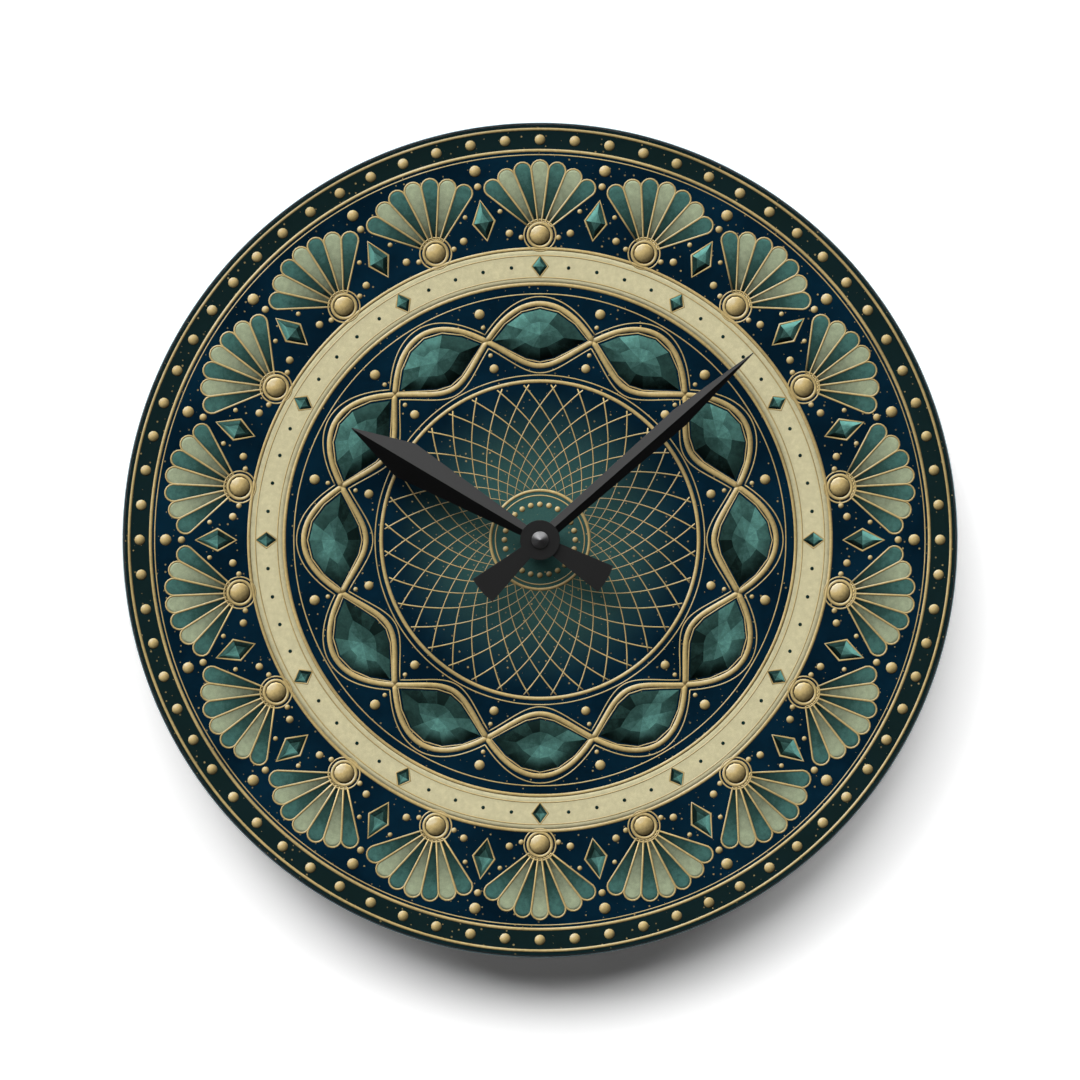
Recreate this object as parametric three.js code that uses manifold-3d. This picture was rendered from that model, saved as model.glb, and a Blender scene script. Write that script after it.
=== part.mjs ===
// Acrylic wall clock with a battery movement. Millimetres, +Z up, the dial faces -Y.
// The origin lies on the hands' axis, in the plane of the wall.
// Pieces are drawn face-on: x to the right, y up, z from the wall towards the viewer.
import * as THREE from 'three';
import Module from 'manifold-3d';
import { mergeVertices } from 'three/addons/utils/BufferGeometryUtils.js';

const wasm = await Module();
wasm.setup();

// Fits
const SEAT = 0.08;
const RUN = 0.1;
const HOLE_PLAY = 0.2;

// Dial
const DISC_DIAMETER = 273;
const DISC_THICKNESS = 3;
const DISC_BEVEL = 0.4;
const FILM_THICKNESS = 0.2;
const FILM_INSET = 0.05;
const GASKET_RADIUS = 9;
const GASKET_THICKNESS = 0.8;
const WASHER_RADIUS = 6.2;
const WASHER_THICKNESS = 0.5;
const NUT_FLATS = 11;
const NUT_THICKNESS = 2.2;
const NUT_BEVEL = 0.35;
const BUSH_PROUD = 0.45;

// Hands: each is a thin sheet with a folded blade, a round hub and a flared tail
const HUB_RADIUS = 6.5;
const HAND_THICKNESS = 0.5;
const FOLD_SLOPE = 0.22;
const FOLD_STEP = 0.05;
const BLADE_EMBED = 0.8;
const BLADE_TIP_HALF = 0.15;
const HOUR_LENGTH = 71.2;
const HOUR_SHOULDER = 50.9;
const HOUR_SHOULDER_HALF = 6.3;
const HOUR_ROOT_HALF = 1.9;
const HOUR_CLOCK_DEGREES = 300.7;
const MINUTE_LENGTH = 92.1;
const MINUTE_SHOULDER = 60.4;
const MINUTE_SHOULDER_HALF = 3.2;
const MINUTE_ROOT_HALF = 2.2;
const MINUTE_CLOCK_DEGREES = 48.75;
const TAIL_REACH = 25.3;
const TAIL_ROOT_HALF = 2.3;
const TAIL_END_HALF = 4.9;
const HAND_GAP = 0.4;
const COLLET_WALL = 0.75;
const COLLET_FLANGE = 0.55;
const COLLET_FLANGE_WIDTH = 0.8;
const CAP_RADIUS = 2.8;
const CAP_RIM = 0.7;
const CAP_CONE = 1.4;
const CAP_THREAD_RADIUS = 1.2;
const CAP_THREAD_LENGTH = 1.2;

// Shafts at the centre, from the inside out
const MINUTE_SHAFT_RADIUS = 1.6;
const MINUTE_SHAFT_FLAT = 1.2;
const HOUR_TUBE_WALL = 0.8;
const BUSH_WALL = 1.35;
const BUSH_FLANGE_WIDTH = 1.6;
const BUSH_FLANGE_THICKNESS = 0.8;

// Case and battery
const CASE_WALL = 1.5;
const FRONT_WALL = 1.5;
const CASE_CORNER = 3;
const COVER_THICKNESS = 1.5;
const LIP_WALL = 1;
const LIP_DEPTH = 2;
const LIP_PLAY = 0.15;
const LATCH_WIDTH = 6;
const LATCH_HEIGHT = 0.8;
const LATCH_REACH = 0.9;
const LATCH_PLACE = 14;
const PARTITION = 1.2;
const AXIS_ABOVE_PARTITION = 10;
const BATTERY_DIAMETER = 14.5;
const BATTERY_LENGTH = 50.5;
const BATTERY_NUB_RADIUS = 2.75;
const BATTERY_NUB_LENGTH = 1.3;
const BATTERY_PLAY = 0.4;
const BATTERY_SINK = 0.7;
const BAY_FLOOR = 1;
const CRADLE_PLACE = 13;
const CRADLE_WIDTH = 1.6;
const FINGER_NOTCH_RADIUS = 8;
const CONTACT_ROOM = 1.25;
const CONTACT_THICKNESS = 0.4;
const CONTACT_WIDTH = 7;
const CONTACT_PLAY = 0.3;
const CONTACT_BULGE = 0.45;

// Going train: module and tooth count of each wheel, and of the pinion that it meets
const ADDENDUM = 0.9;
const DEDENDUM = 1.25;
const TOOTH_ROOT_SHARE = 0.3;
const TOOTH_TIP_SHARE = 0.09;
const WHEEL_THICKNESS = 0.7;
const LEVEL_GAP = 0.5;
const PINION_LEAVES = 8;
const FIFTH_TEETH = 48;
const FIFTH_MODULE = 0.25;
const FOURTH_TEETH = 40;
const FOURTH_MODULE = 0.3;
const THIRD_TEETH = 60;
const THIRD_MODULE = 0.25;
const CENTRE_TEETH = 64;
const CENTRE_MODULE = 0.25;
const THIRD_DEGREES = 64;
const FOURTH_DEGREES = 163;
const FIFTH_DEGREES = 198;
const ROTOR_DEGREES = 125;
const ARBOR_RADIUS = 0.6;
const PIVOT_RADIUS = 0.45;
const PIVOT_LENGTH = 1.4;
const PIVOT_PLAY = 0.05;
const PIVOT_BOSS_RADIUS = 1.5;
const WINDOW_SHARE = 0.2;

// Motion work and setting knob
const CANNON_TEETH = 10;
const MINUTE_TEETH = 30;
const MINUTE_LEAVES = 10;
const HOUR_TEETH = 40;
const SETTING_TEETH = 12;
const MOTION_MODULE = 0.44;
const MOTION_THICKNESS = 0.8;
const MINUTE_DEGREES = 160;
const SETTING_DEGREES = 200;
const STEM_RADIUS = 1.5;
const KNOB_RADIUS = 5;
const KNOB_THICKNESS = 2.6;
const KNOB_SINK = 0.3;
const KNOB_FLUTES = 20;
const KNOB_FLUTE_DEPTH = 0.35;
const WELL_PLAY = 0.8;
const WELL_WALL = 0.8;
const WELL_FLOOR = 1;

// Gear plate
const PLATE_THICKNESS = 1;
const PLATE_CORNER = 2;
const PLATE_MARGIN = 0.8;
const POST_RADIUS = 1.8;
const POST_INSET = 2.3;
const STAKE_RADIUS = 0.8;
const STAKE_PROUD = 0.3;

// Step motor
const MAGNET_RADIUS = 2.8;
const MAGNET_HEIGHT = 2.4;
const ROTOR_GAP = 0.6;
const LAMINATION = 1;
const STATOR_HALF_LENGTH = 9.4;
const STATOR_HALF_HEIGHT = 4.2;
const STATOR_ARM = 3.4;
const CORE_CORNER = 1;
const CORE_HEIGHT = 3.2;
const BOBBIN_WALL = 0.7;
const BOBBIN_FLANGE_RADIUS = 3.8;
const BOBBIN_FLANGE = 0.8;
const WINDING_RADIUS = 3.4;
const COIL_ROOM = 0.6;
const COIL_CLEARANCE = 0.4;
const MOTOR_ROOM = 1;
const SCREW_RADIUS = 0.7;
const SCREW_HEAD_RADIUS = 1.4;
const SCREW_HEAD_HEIGHT = 0.7;
const SCREW_BITE = 3;

// Circuit board
const BOARD_THICKNESS = 1;
const BOARD_ARM = 8;
const BOARD_GAP = 1.5;
const BOARD_PLAY = 0.1;
const CHIP_RADIUS = 3;
const CHIP_HEIGHT = 1.1;
const CRYSTAL_RADIUS = 1;
const CRYSTAL_LENGTH = 6;

// Hanger hook
const HANGER_THICKNESS = 0.8;
const HANGER_RADIUS = 9.5;
const HANGER_WIDTH = 16;
const HANGER_CLEARANCE = 0.3;
const HANGER_WALL_GAP = 1;
const HANGER_TAB = 17;
const EYE_WIDTH = 11;
const EYE_HEIGHT = 9;
const EYE_CORNER = 1.6;
const EYE_EDGE = 4;

// Radii that follow from the shafts
const hourTubeBore = MINUTE_SHAFT_RADIUS + RUN;
const hourTubeRadius = hourTubeBore + HOUR_TUBE_WALL;
const bushBore = hourTubeRadius + RUN;
const bushRadius = bushBore + BUSH_WALL;
const bushHole = bushRadius + HOLE_PLAY;

// Depths inside the case, from the wall
const knobFloor = KNOB_SINK + KNOB_THICKNESS + RUN;
const wellTop = knobFloor + WELL_FLOOR;
const level = (index) => wellTop + LEVEL_GAP + index * (WHEEL_THICKNESS + LEVEL_GAP);
const plateRear = level(4);
const plateFront = plateRear + PLATE_THICKNESS;
const motionRear = plateFront + LEVEL_GAP;
const motionFront = motionRear + MOTION_THICKNESS;
const hourRear = motionFront + LEVEL_GAP;
const hourFront = hourRear + MOTION_THICKNESS;
const trainDepth = hourFront + LEVEL_GAP + BUSH_FLANGE_THICKNESS + 2 * SEAT + FRONT_WALL;
const bayDepth = BATTERY_SINK + BATTERY_DIAMETER + BATTERY_PLAY + BAY_FLOOR;
const caseDepth = Math.max(trainDepth, bayDepth);
const frontInner = caseDepth - FRONT_WALL;
const pivotBossFront = hourFront + LEVEL_GAP;
const statorRear = level(2) + LEVEL_GAP / 2;
const coreRear = statorRear + LAMINATION + SEAT;
const coreFront = coreRear + LAMINATION;
const coilDepth = coreRear + LAMINATION / 2;
const boardRear = plateFront + LEVEL_GAP;
const boardFront = boardRear + BOARD_THICKNESS;

// Depths in front of the case, from the wall
const hangerRear = caseDepth + SEAT;
const gasketRear = hangerRear + HANGER_THICKNESS + SEAT;
const filmRear = gasketRear + GASKET_THICKNESS + SEAT;
const discRear = filmRear + FILM_THICKNESS + SEAT;
const washerRear = discRear + DISC_THICKNESS + SEAT;
const nutRear = washerRear + WASHER_THICKNESS + SEAT;
const bushFront = nutRear + NUT_THICKNESS + BUSH_PROUD;
const hourColletRear = bushFront + 2 * RUN;
const hourHandRear = hourColletRear + COLLET_FLANGE + SEAT;
const hourHandFront = hourHandRear + HAND_THICKNESS;
const hourTubeFront = hourHandFront + 2 * RUN;
const minuteDrop = FOLD_SLOPE * MINUTE_SHOULDER_HALF;
const minuteHandRear = hourHandFront + HAND_GAP + Math.max(minuteDrop, COLLET_FLANGE + SEAT);
const minuteColletRear = minuteHandRear - SEAT - COLLET_FLANGE;
const minuteHandFront = minuteHandRear + HAND_THICKNESS;
const capRear = minuteHandFront + SEAT;

// Gear places, from the hands' axis
const along = (from, distance, degrees) => new THREE.Vector2(
  from.x + distance * Math.cos(THREE.MathUtils.degToRad(degrees)),
  from.y + distance * Math.sin(THREE.MathUtils.degToRad(degrees)),
);
const spacing = (module, teeth, leaves) => module * (teeth + leaves) / 2;
const handAxis = new THREE.Vector2(0, 0);
const thirdAxis = along(handAxis, spacing(CENTRE_MODULE, CENTRE_TEETH, PINION_LEAVES), THIRD_DEGREES);
const fourthAxis = along(thirdAxis, spacing(THIRD_MODULE, THIRD_TEETH, PINION_LEAVES), FOURTH_DEGREES);
const fifthAxis = along(fourthAxis, spacing(FOURTH_MODULE, FOURTH_TEETH, PINION_LEAVES), FIFTH_DEGREES);
const rotorAxis = along(fifthAxis, spacing(FIFTH_MODULE, FIFTH_TEETH, PINION_LEAVES), ROTOR_DEGREES);
const motionSpacing = spacing(MOTION_MODULE, MINUTE_TEETH, CANNON_TEETH);
const hourModule = 2 * motionSpacing / (HOUR_TEETH + MINUTE_LEAVES);
const minuteAxis = along(handAxis, motionSpacing, MINUTE_DEGREES);
const settingAxis = along(minuteAxis, spacing(MOTION_MODULE, MINUTE_TEETH, SETTING_TEETH), SETTING_DEGREES);
const coilRise = STATOR_HALF_HEIGHT + COIL_CLEARANCE + BOBBIN_FLANGE_RADIUS;
const coilAxis = new THREE.Vector2(rotorAxis.x, rotorAxis.y + coilRise);

// Outline of the case, seen face-on. Its room is as wide as the battery bay or the motor asks for.
const bayHalfWidth = BATTERY_LENGTH / 2 + CONTACT_ROOM;
const motorReach = STATOR_HALF_LENGTH - rotorAxis.x;
const innerHalfWidth = Math.max(bayHalfWidth, motorReach + MOTOR_ROOM);
const caseHalfWidth = innerHalfWidth + CASE_WALL;
const roomTop = coilAxis.y + BOBBIN_FLANGE_RADIUS + COIL_ROOM;
const caseTop = roomTop + CASE_WALL;
const roomBottom = -AXIS_ABOVE_PARTITION;
const bayTop = roomBottom - PARTITION;
const bayBottom = bayTop - BATTERY_DIAMETER - 2 * BATTERY_PLAY;
const caseBottom = bayBottom - CASE_WALL;
const coverSeam = (roomBottom + bayTop) / 2;
const batteryAxis = new THREE.Vector2((bayTop + bayBottom) / 2, BATTERY_SINK + BATTERY_DIAMETER / 2);
const contactRear = batteryAxis.y - CONTACT_WIDTH / 2;
const contactFront = batteryAxis.y + CONTACT_WIDTH / 2;
const contactFace = BATTERY_LENGTH / 2 + CONTACT_PLAY;
const stripTop = roomBottom + SEAT + CONTACT_THICKNESS;
const plateLeft = -innerHalfWidth + PLATE_MARGIN;
const plateRight = thirdAxis.x + THIRD_MODULE * THIRD_TEETH / 2 + PLATE_MARGIN;
const plateBottom = stripTop + PLATE_MARGIN;
const plateTop = coilAxis.y - BOBBIN_FLANGE_RADIUS - PLATE_MARGIN;
const boardLeft = rotorAxis.x + STATOR_HALF_LENGTH + BOARD_GAP;
const boardInner = plateRight + BOARD_GAP;
const boardRight = contactFace - BOARD_PLAY;
const boardTop = roomTop - BOARD_PLAY;
const boardBottom = stripTop + BOARD_PLAY;

// Solids
function solidOf(geometry) {
  const bare = geometry.clone();
  bare.deleteAttribute('normal');
  bare.deleteAttribute('uv');
  const merged = mergeVertices(bare, 1e-4);
  const corners = [];
  for (let first = 0; first < merged.index.count; first += 3) {
    const triangle = [0, 1, 2].map((offset) => merged.index.getX(first + offset));
    if (new Set(triangle).size === 3) {
      corners.push(...triangle);
    }
  }
  return new wasm.Manifold(new wasm.Mesh({
    numProp: 3,
    vertProperties: new Float32Array(merged.attributes.position.array),
    triVerts: new Uint32Array(corners),
  }));
}

function geometryOf(solid) {
  const mesh = solid.getMesh();
  const geometry = new THREE.BufferGeometry();
  geometry.setAttribute('position', new THREE.BufferAttribute(mesh.vertProperties, 3));
  geometry.setIndex(new THREE.BufferAttribute(mesh.triVerts, 1));
  geometry.computeVertexNormals();
  return geometry;
}

function joined(first, ...others) {
  return geometryOf(others.reduce((whole, other) => whole.add(solidOf(other)), solidOf(first)));
}

function cut(first, ...others) {
  return geometryOf(others.reduce((whole, other) => whole.subtract(solidOf(other)), solidOf(first)));
}

function common(first, second) {
  return geometryOf(solidOf(first).intersect(solidOf(second)));
}

// Facets of a full round. Their sag stays under the clearance between seated pieces.
const sag = 0.8 * SEAT;
const facetsFor = (radius) => 2 * Math.ceil(Math.PI / (2 * Math.acos(1 - sag / radius)));

// Points of an arc, counter-clockwise from start to end
function arc(x, y, radius, start, end) {
  const steps = Math.ceil(facetsFor(radius) * (end - start) / (2 * Math.PI));
  return Array.from({ length: steps + 1 }, (_, step) => {
    const angle = start + (end - start) * step / steps;
    return new THREE.Vector2(x + radius * Math.cos(angle), y + radius * Math.sin(angle));
  });
}

// Simple forms
function plate(shape, rear, front) {
  const geometry = new THREE.ExtrudeGeometry(shape, { depth: front - rear, bevelEnabled: false });
  return geometry.translate(0, 0, rear);
}

function box(left, right, bottom, top, rear, front) {
  const geometry = new THREE.BoxGeometry(right - left, top - bottom, front - rear);
  return geometry.translate((left + right) / 2, (bottom + top) / 2, (rear + front) / 2);
}

function rod(radius, place, rear, front) {
  const geometry = new THREE.CylinderGeometry(radius, radius, front - rear, facetsFor(radius));
  return geometry.rotateX(Math.PI / 2).translate(place.x, place.y, (rear + front) / 2);
}

// Turned about the z axis. The profile lists radius and depth.
function turned(profile) {
  const points = profile.map(([radius, depth]) => new THREE.Vector2(radius, depth));
  const widest = Math.max(...points.map((point) => point.x));
  return new THREE.LatheGeometry(points, facetsFor(widest)).rotateX(Math.PI / 2);
}

function ring(bore, radius, rear, front) {
  return turned([[bore, rear], [radius, rear], [radius, front], [bore, front], [bore, rear]]);
}

// Turned stages on one axis: each lists its radius and the depth where it ends
function spindle(rear, stages) {
  const profile = [[0, rear]];
  let depth = rear;
  for (const [radius, end] of stages) {
    profile.push([radius, depth], [radius, end]);
    depth = end;
  }
  profile.push([0, depth]);
  return turned(profile);
}

function roundedOutline(left, right, bottom, top, radius) {
  const quarter = Math.PI / 2;
  return new THREE.Shape([
    ...arc(right - radius, bottom + radius, radius, -quarter, 0),
    ...arc(right - radius, top - radius, radius, 0, quarter),
    ...arc(left + radius, top - radius, radius, quarter, 2 * quarter),
    ...arc(left + radius, bottom + radius, radius, 2 * quarter, 3 * quarter),
  ]);
}

// Bent strip along a path, with its thickness on the left of the path
function ribbonShape(path, thickness) {
  const sides = path.slice(1).map((point, index) => {
    const run = point.clone().sub(path[index]).normalize();
    return new THREE.Vector2(-run.y, run.x);
  });
  const outer = path.map((point, index) => {
    const before = sides[Math.max(index - 1, 0)];
    const after = sides[Math.min(index, sides.length - 1)];
    const miter = before.clone().add(after);
    return point.clone().addScaledVector(miter, 2 * thickness / miter.lengthSq());
  });
  return new THREE.Shape([...path, ...outer.reverse()]);
}

// Gears
function gearOutline(teeth, module, phase) {
  const root = module * (teeth / 2 - DEDENDUM);
  const tip = module * (teeth / 2 + ADDENDUM);
  const pitch = 2 * Math.PI / teeth;
  const flank = [
    [root, -TOOTH_ROOT_SHARE],
    [tip, -TOOTH_TIP_SHARE],
    [tip, TOOTH_TIP_SHARE],
    [root, TOOTH_ROOT_SHARE],
  ];
  const points = [];
  for (let tooth = 0; tooth < teeth; tooth += 1) {
    for (const [radius, share] of flank) {
      const angle = phase + (tooth + share) * pitch;
      points.push(new THREE.Vector2(radius * Math.cos(angle), radius * Math.sin(angle)));
    }
  }
  return new THREE.Shape(points);
}

function roundHole(x, y, radius) {
  return new THREE.Path(arc(x, y, radius, 0, 2 * Math.PI).slice(1));
}

// Three round windows between the hub and the rim of a wheel
function withWindows(shape, pitchRadius) {
  for (let window = 0; window < 3; window += 1) {
    const place = along(handAxis, pitchRadius / 2, window * 120);
    shape.holes.push(roundHole(place.x, place.y, WINDOW_SHARE * pitchRadius));
  }
  return shape;
}

// Phase of a gear that meets another one, so that a tooth of either stands in a gap of the other
function meshPhase(driver, driverTeeth, driverPhase, driven, drivenTeeth) {
  const direction = driven.clone().sub(driver).angle();
  return direction + Math.PI + (direction - driverPhase) * driverTeeth / drivenTeeth + Math.PI / drivenTeeth;
}

// Wheel and pinion moulded on one arbor with a pivot at each end
function trainWheel(axis, next, teeth, module, index, pinionModule) {
  const rear = level(index);
  const front = rear + WHEEL_THICKNESS;
  const phase = meshPhase(next, PINION_LEAVES, 0, axis, teeth);
  const wheel = gearOutline(teeth, module, phase);
  const pinion = gearOutline(PINION_LEAVES, pinionModule, 0);
  const shoulder = wellTop + RUN;
  const end = plateRear - RUN;
  return joined(
    spindle(shoulder - PIVOT_LENGTH, [
      [PIVOT_RADIUS, shoulder],
      [ARBOR_RADIUS, end],
      [PIVOT_RADIUS, end + PLATE_THICKNESS],
    ]),
    plate(wheel, rear, front),
    plate(pinion, front - LEVEL_GAP / 2, front + LEVEL_GAP + WHEEL_THICKNESS + LEVEL_GAP / 4),
  );
}

// Dial pieces
function acrylicDisc() {
  const radius = DISC_DIAMETER / 2;
  const front = discRear + DISC_THICKNESS;
  const blank = turned([
    [0, discRear],
    [radius - DISC_BEVEL, discRear],
    [radius, discRear + DISC_BEVEL],
    [radius, front - DISC_BEVEL],
    [radius - DISC_BEVEL, front],
    [0, front],
  ]);
  return cut(blank, rod(bushHole, handAxis, discRear - 1, front + 1));
}

function printFilm() {
  const radius = DISC_DIAMETER / 2 - DISC_BEVEL - FILM_INSET;
  const shape = new THREE.Shape(arc(0, 0, radius, 0, 2 * Math.PI).slice(1));
  shape.holes.push(roundHole(0, 0, bushHole));
  return plate(shape, filmRear, filmRear + FILM_THICKNESS);
}

function dialNut() {
  const corner = NUT_FLATS / Math.sqrt(3);
  const front = nutRear + NUT_THICKNESS;
  const flats = new THREE.CylinderGeometry(corner, corner, NUT_THICKNESS, 6).rotateX(Math.PI / 2);
  const cone = turned([
    [0, nutRear],
    [corner, nutRear],
    [corner, front - NUT_BEVEL],
    [corner - 2 * NUT_BEVEL, front],
    [0, front],
  ]);
  const body = common(flats.translate(0, 0, nutRear + NUT_THICKNESS / 2), cone);
  return cut(body, rod(bushHole, handAxis, nutRear - 1, front + 1));
}

// Hands, drawn pointing to twelve
function halfBlade(side, rear, length, shoulder, shoulderHalf, rootHalf) {
  const start = HUB_RADIUS - BLADE_EMBED;
  const outline = [
    [0, start],
    [rootHalf, start],
    [shoulderHalf, shoulder],
    [BLADE_TIP_HALF, length],
    [0, length],
  ];
  const shape = new THREE.Shape(outline.map(([across, up]) => new THREE.Vector2(side * across, up)));
  const geometry = plate(shape, rear - FOLD_STEP, rear - FOLD_STEP + HAND_THICKNESS);
  const position = geometry.attributes.position;
  for (let index = 0; index < position.count; index += 1) {
    position.setZ(index, position.getZ(index) - FOLD_SLOPE * Math.abs(position.getX(index)));
  }
  return geometry;
}

function hubAndTail(rear) {
  const down = -Math.PI / 2;
  const rootAngle = Math.asin(TAIL_ROOT_HALF / HUB_RADIUS);
  const endAngle = Math.asin(TAIL_END_HALF / TAIL_REACH);
  const shape = new THREE.Shape([
    ...arc(0, 0, HUB_RADIUS, down + rootAngle, down + 2 * Math.PI - rootAngle),
    ...arc(0, 0, TAIL_REACH, down - endAngle, down + endAngle),
  ]);
  return plate(shape, rear, rear + HAND_THICKNESS);
}

function hand(rear, hole, ...blade) {
  const sheet = joined(hubAndTail(rear), halfBlade(1, rear, ...blade), halfBlade(-1, rear, ...blade));
  return cut(sheet, rod(hole, handAxis, rear - HAND_THICKNESS, rear + 2 * HAND_THICKNESS));
}

// Collet riveted into a hand: a short tube with a flange behind the hub
function collet(hole, radius, rear, front) {
  const flange = rod(radius + COLLET_FLANGE_WIDTH, handAxis, rear, rear + COLLET_FLANGE);
  return cut(joined(flange, rod(radius, handAxis, rear, front)), hole);
}

// Round shaft end with two flats, which the minute hand is keyed on
function keyedEnd(clearance, rear, front) {
  const flat = MINUTE_SHAFT_FLAT + clearance;
  const round = rod(MINUTE_SHAFT_RADIUS + clearance, handAxis, rear, front);
  return common(round, box(-flat, flat, -2 * MINUTE_SHAFT_RADIUS, 2 * MINUTE_SHAFT_RADIUS, rear, front));
}

function capNut() {
  const rim = capRear + CAP_RIM;
  const thread = CAP_THREAD_RADIUS + SEAT;
  const bottom = minuteHandFront + CAP_THREAD_LENGTH + RUN;
  return turned([
    [thread, capRear],
    [CAP_RADIUS, capRear],
    [CAP_RADIUS, rim],
    [0, rim + CAP_CONE],
    [0, bottom],
    [thread, bottom],
    [thread, capRear],
  ]);
}

// Movement: shafts and motion work
function threadedBush() {
  const rear = frontInner - SEAT - BUSH_FLANGE_THICKNESS;
  return turned([
    [bushBore, rear],
    [bushRadius + BUSH_FLANGE_WIDTH, rear],
    [bushRadius + BUSH_FLANGE_WIDTH, frontInner - SEAT],
    [bushRadius, frontInner - SEAT],
    [bushRadius, bushFront],
    [bushBore, bushFront],
    [bushBore, rear],
  ]);
}

const centreFlange = level(3) - SEAT;
const centreSeat = MINUTE_SHAFT_RADIUS - 3 * RUN;
const clutchRear = level(3) + WHEEL_THICKNESS + SEAT;
const clutchFront = plateRear - 2 * RUN;

function minuteShaft() {
  const shoulder = wellTop + RUN;
  const shaft = spindle(shoulder - PIVOT_LENGTH, [
    [PIVOT_RADIUS, shoulder],
    [PIVOT_RADIUS * 2, centreFlange - LEVEL_GAP / 2],
    [MINUTE_SHAFT_RADIUS, centreFlange],
    [centreSeat, plateRear - RUN],
    [MINUTE_SHAFT_RADIUS, minuteColletRear],
  ]);
  const cannon = gearOutline(CANNON_TEETH, MOTION_MODULE, 0);
  const tipEnd = minuteHandFront + CAP_THREAD_LENGTH;
  return joined(
    shaft,
    plate(cannon, motionRear - LEVEL_GAP / 2, motionFront + LEVEL_GAP / 4),
    keyedEnd(0, minuteColletRear - RUN, minuteHandFront),
    rod(CAP_THREAD_RADIUS, handAxis, minuteHandRear, tipEnd),
  );
}

function centreWheel() {
  const phase = meshPhase(thirdAxis, PINION_LEAVES, 0, handAxis, CENTRE_TEETH);
  const outline = gearOutline(CENTRE_TEETH, CENTRE_MODULE, phase);
  const shape = withWindows(outline, CENTRE_TEETH * CENTRE_MODULE / 2);
  shape.holes.push(roundHole(0, 0, centreSeat + SEAT));
  return plate(shape, level(3), level(3) + WHEEL_THICKNESS);
}

// Dished spring washer that clutches the centre wheel to the shaft
function clutchSpring() {
  const bore = centreSeat + SEAT;
  const radius = MINUTE_SHAFT_RADIUS * 2;
  const thickness = (clutchFront - clutchRear) / 2;
  return turned([
    [bore, clutchFront - thickness],
    [radius, clutchRear],
    [radius, clutchRear + thickness],
    [bore, clutchFront],
    [bore, clutchFront - thickness],
  ]);
}

const minutePhase = meshPhase(handAxis, CANNON_TEETH, 0, minuteAxis, MINUTE_TEETH);

function minuteWheel() {
  const shoulder = plateFront + RUN;
  const end = pivotBossFront - RUN;
  return joined(
    spindle(plateRear, [
      [PIVOT_RADIUS, shoulder],
      [ARBOR_RADIUS, end],
      [PIVOT_RADIUS, end + PIVOT_LENGTH],
    ]),
    plate(gearOutline(MINUTE_TEETH, MOTION_MODULE, minutePhase), motionRear, motionFront),
    plate(
      gearOutline(MINUTE_LEAVES, hourModule, 0),
      motionFront - LEVEL_GAP / 2,
      hourFront + LEVEL_GAP / 4,
    ),
  );
}

function hourWheel() {
  const phase = meshPhase(minuteAxis, MINUTE_LEAVES, 0, handAxis, HOUR_TEETH);
  const gear = cut(
    plate(gearOutline(HOUR_TEETH, hourModule, phase), hourRear, hourFront),
    rod(hourTubeRadius - HOUR_TUBE_WALL / 2, handAxis, hourRear - 1, hourFront + 1),
  );
  return joined(ring(hourTubeBore, hourTubeRadius, hourRear - LEVEL_GAP / 4, hourTubeFront), gear);
}

function settingStem() {
  const end = pivotBossFront - RUN;
  const phase = meshPhase(minuteAxis, MINUTE_TEETH, minutePhase, settingAxis, SETTING_TEETH);
  return joined(
    spindle(KNOB_SINK + KNOB_THICKNESS / 2, [
      [STEM_RADIUS, motionRear],
      [ARBOR_RADIUS, end],
      [PIVOT_RADIUS, end + PIVOT_LENGTH],
    ]),
    plate(
      gearOutline(SETTING_TEETH, MOTION_MODULE, phase),
      motionRear - LEVEL_GAP / 4,
      motionFront + LEVEL_GAP / 4,
    ),
  );
}

// Fluted knob with a socket for the stem
function settingKnob() {
  const points = [];
  const flank = [
    [0, KNOB_RADIUS],
    [0.45, KNOB_RADIUS],
    [0.72, KNOB_RADIUS - KNOB_FLUTE_DEPTH],
  ];
  for (let flute = 0; flute < KNOB_FLUTES; flute += 1) {
    for (const [share, radius] of flank) {
      const angle = 2 * Math.PI * (flute + share) / KNOB_FLUTES;
      points.push(new THREE.Vector2(radius * Math.cos(angle), radius * Math.sin(angle)));
    }
  }
  const body = plate(new THREE.Shape(points), KNOB_SINK, KNOB_SINK + KNOB_THICKNESS);
  const socket = KNOB_SINK + KNOB_THICKNESS / 2 - SEAT;
  return cut(body, rod(STEM_RADIUS + SEAT, handAxis, socket, KNOB_SINK + KNOB_THICKNESS + 1));
}

// Movement: gear plate, held on four staked posts of the case
const plateCorners = [
  [plateLeft, plateBottom],
  [plateLeft, plateTop],
  [plateRight, plateBottom],
  [plateRight, plateTop],
];
const postPlaces = plateCorners.map(([x, y]) => new THREE.Vector2(
  x - Math.sign(x) * POST_INSET,
  y - Math.sign(y) * POST_INSET,
));

function gearPlate() {
  const shape = roundedOutline(plateLeft, plateRight, plateBottom, plateTop, PLATE_CORNER);
  const pivots = [thirdAxis, fourthAxis, fifthAxis, rotorAxis, minuteAxis];
  pivots.forEach((axis) => shape.holes.push(roundHole(axis.x, axis.y, PIVOT_RADIUS + PIVOT_PLAY)));
  postPlaces.forEach((place) => shape.holes.push(roundHole(place.x, place.y, STAKE_RADIUS + RUN)));
  shape.holes.push(roundHole(0, 0, MINUTE_SHAFT_RADIUS + RUN));
  shape.holes.push(roundHole(settingAxis.x, settingAxis.y, STEM_RADIUS + RUN));
  return plate(shape, plateRear, plateFront);
}

// Movement: step motor
const screwPlaces = [-1, 1].map((side) => new THREE.Vector2(
  coilAxis.x + side * (STATOR_HALF_LENGTH - STATOR_ARM / 2),
  coilAxis.y,
));

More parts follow.
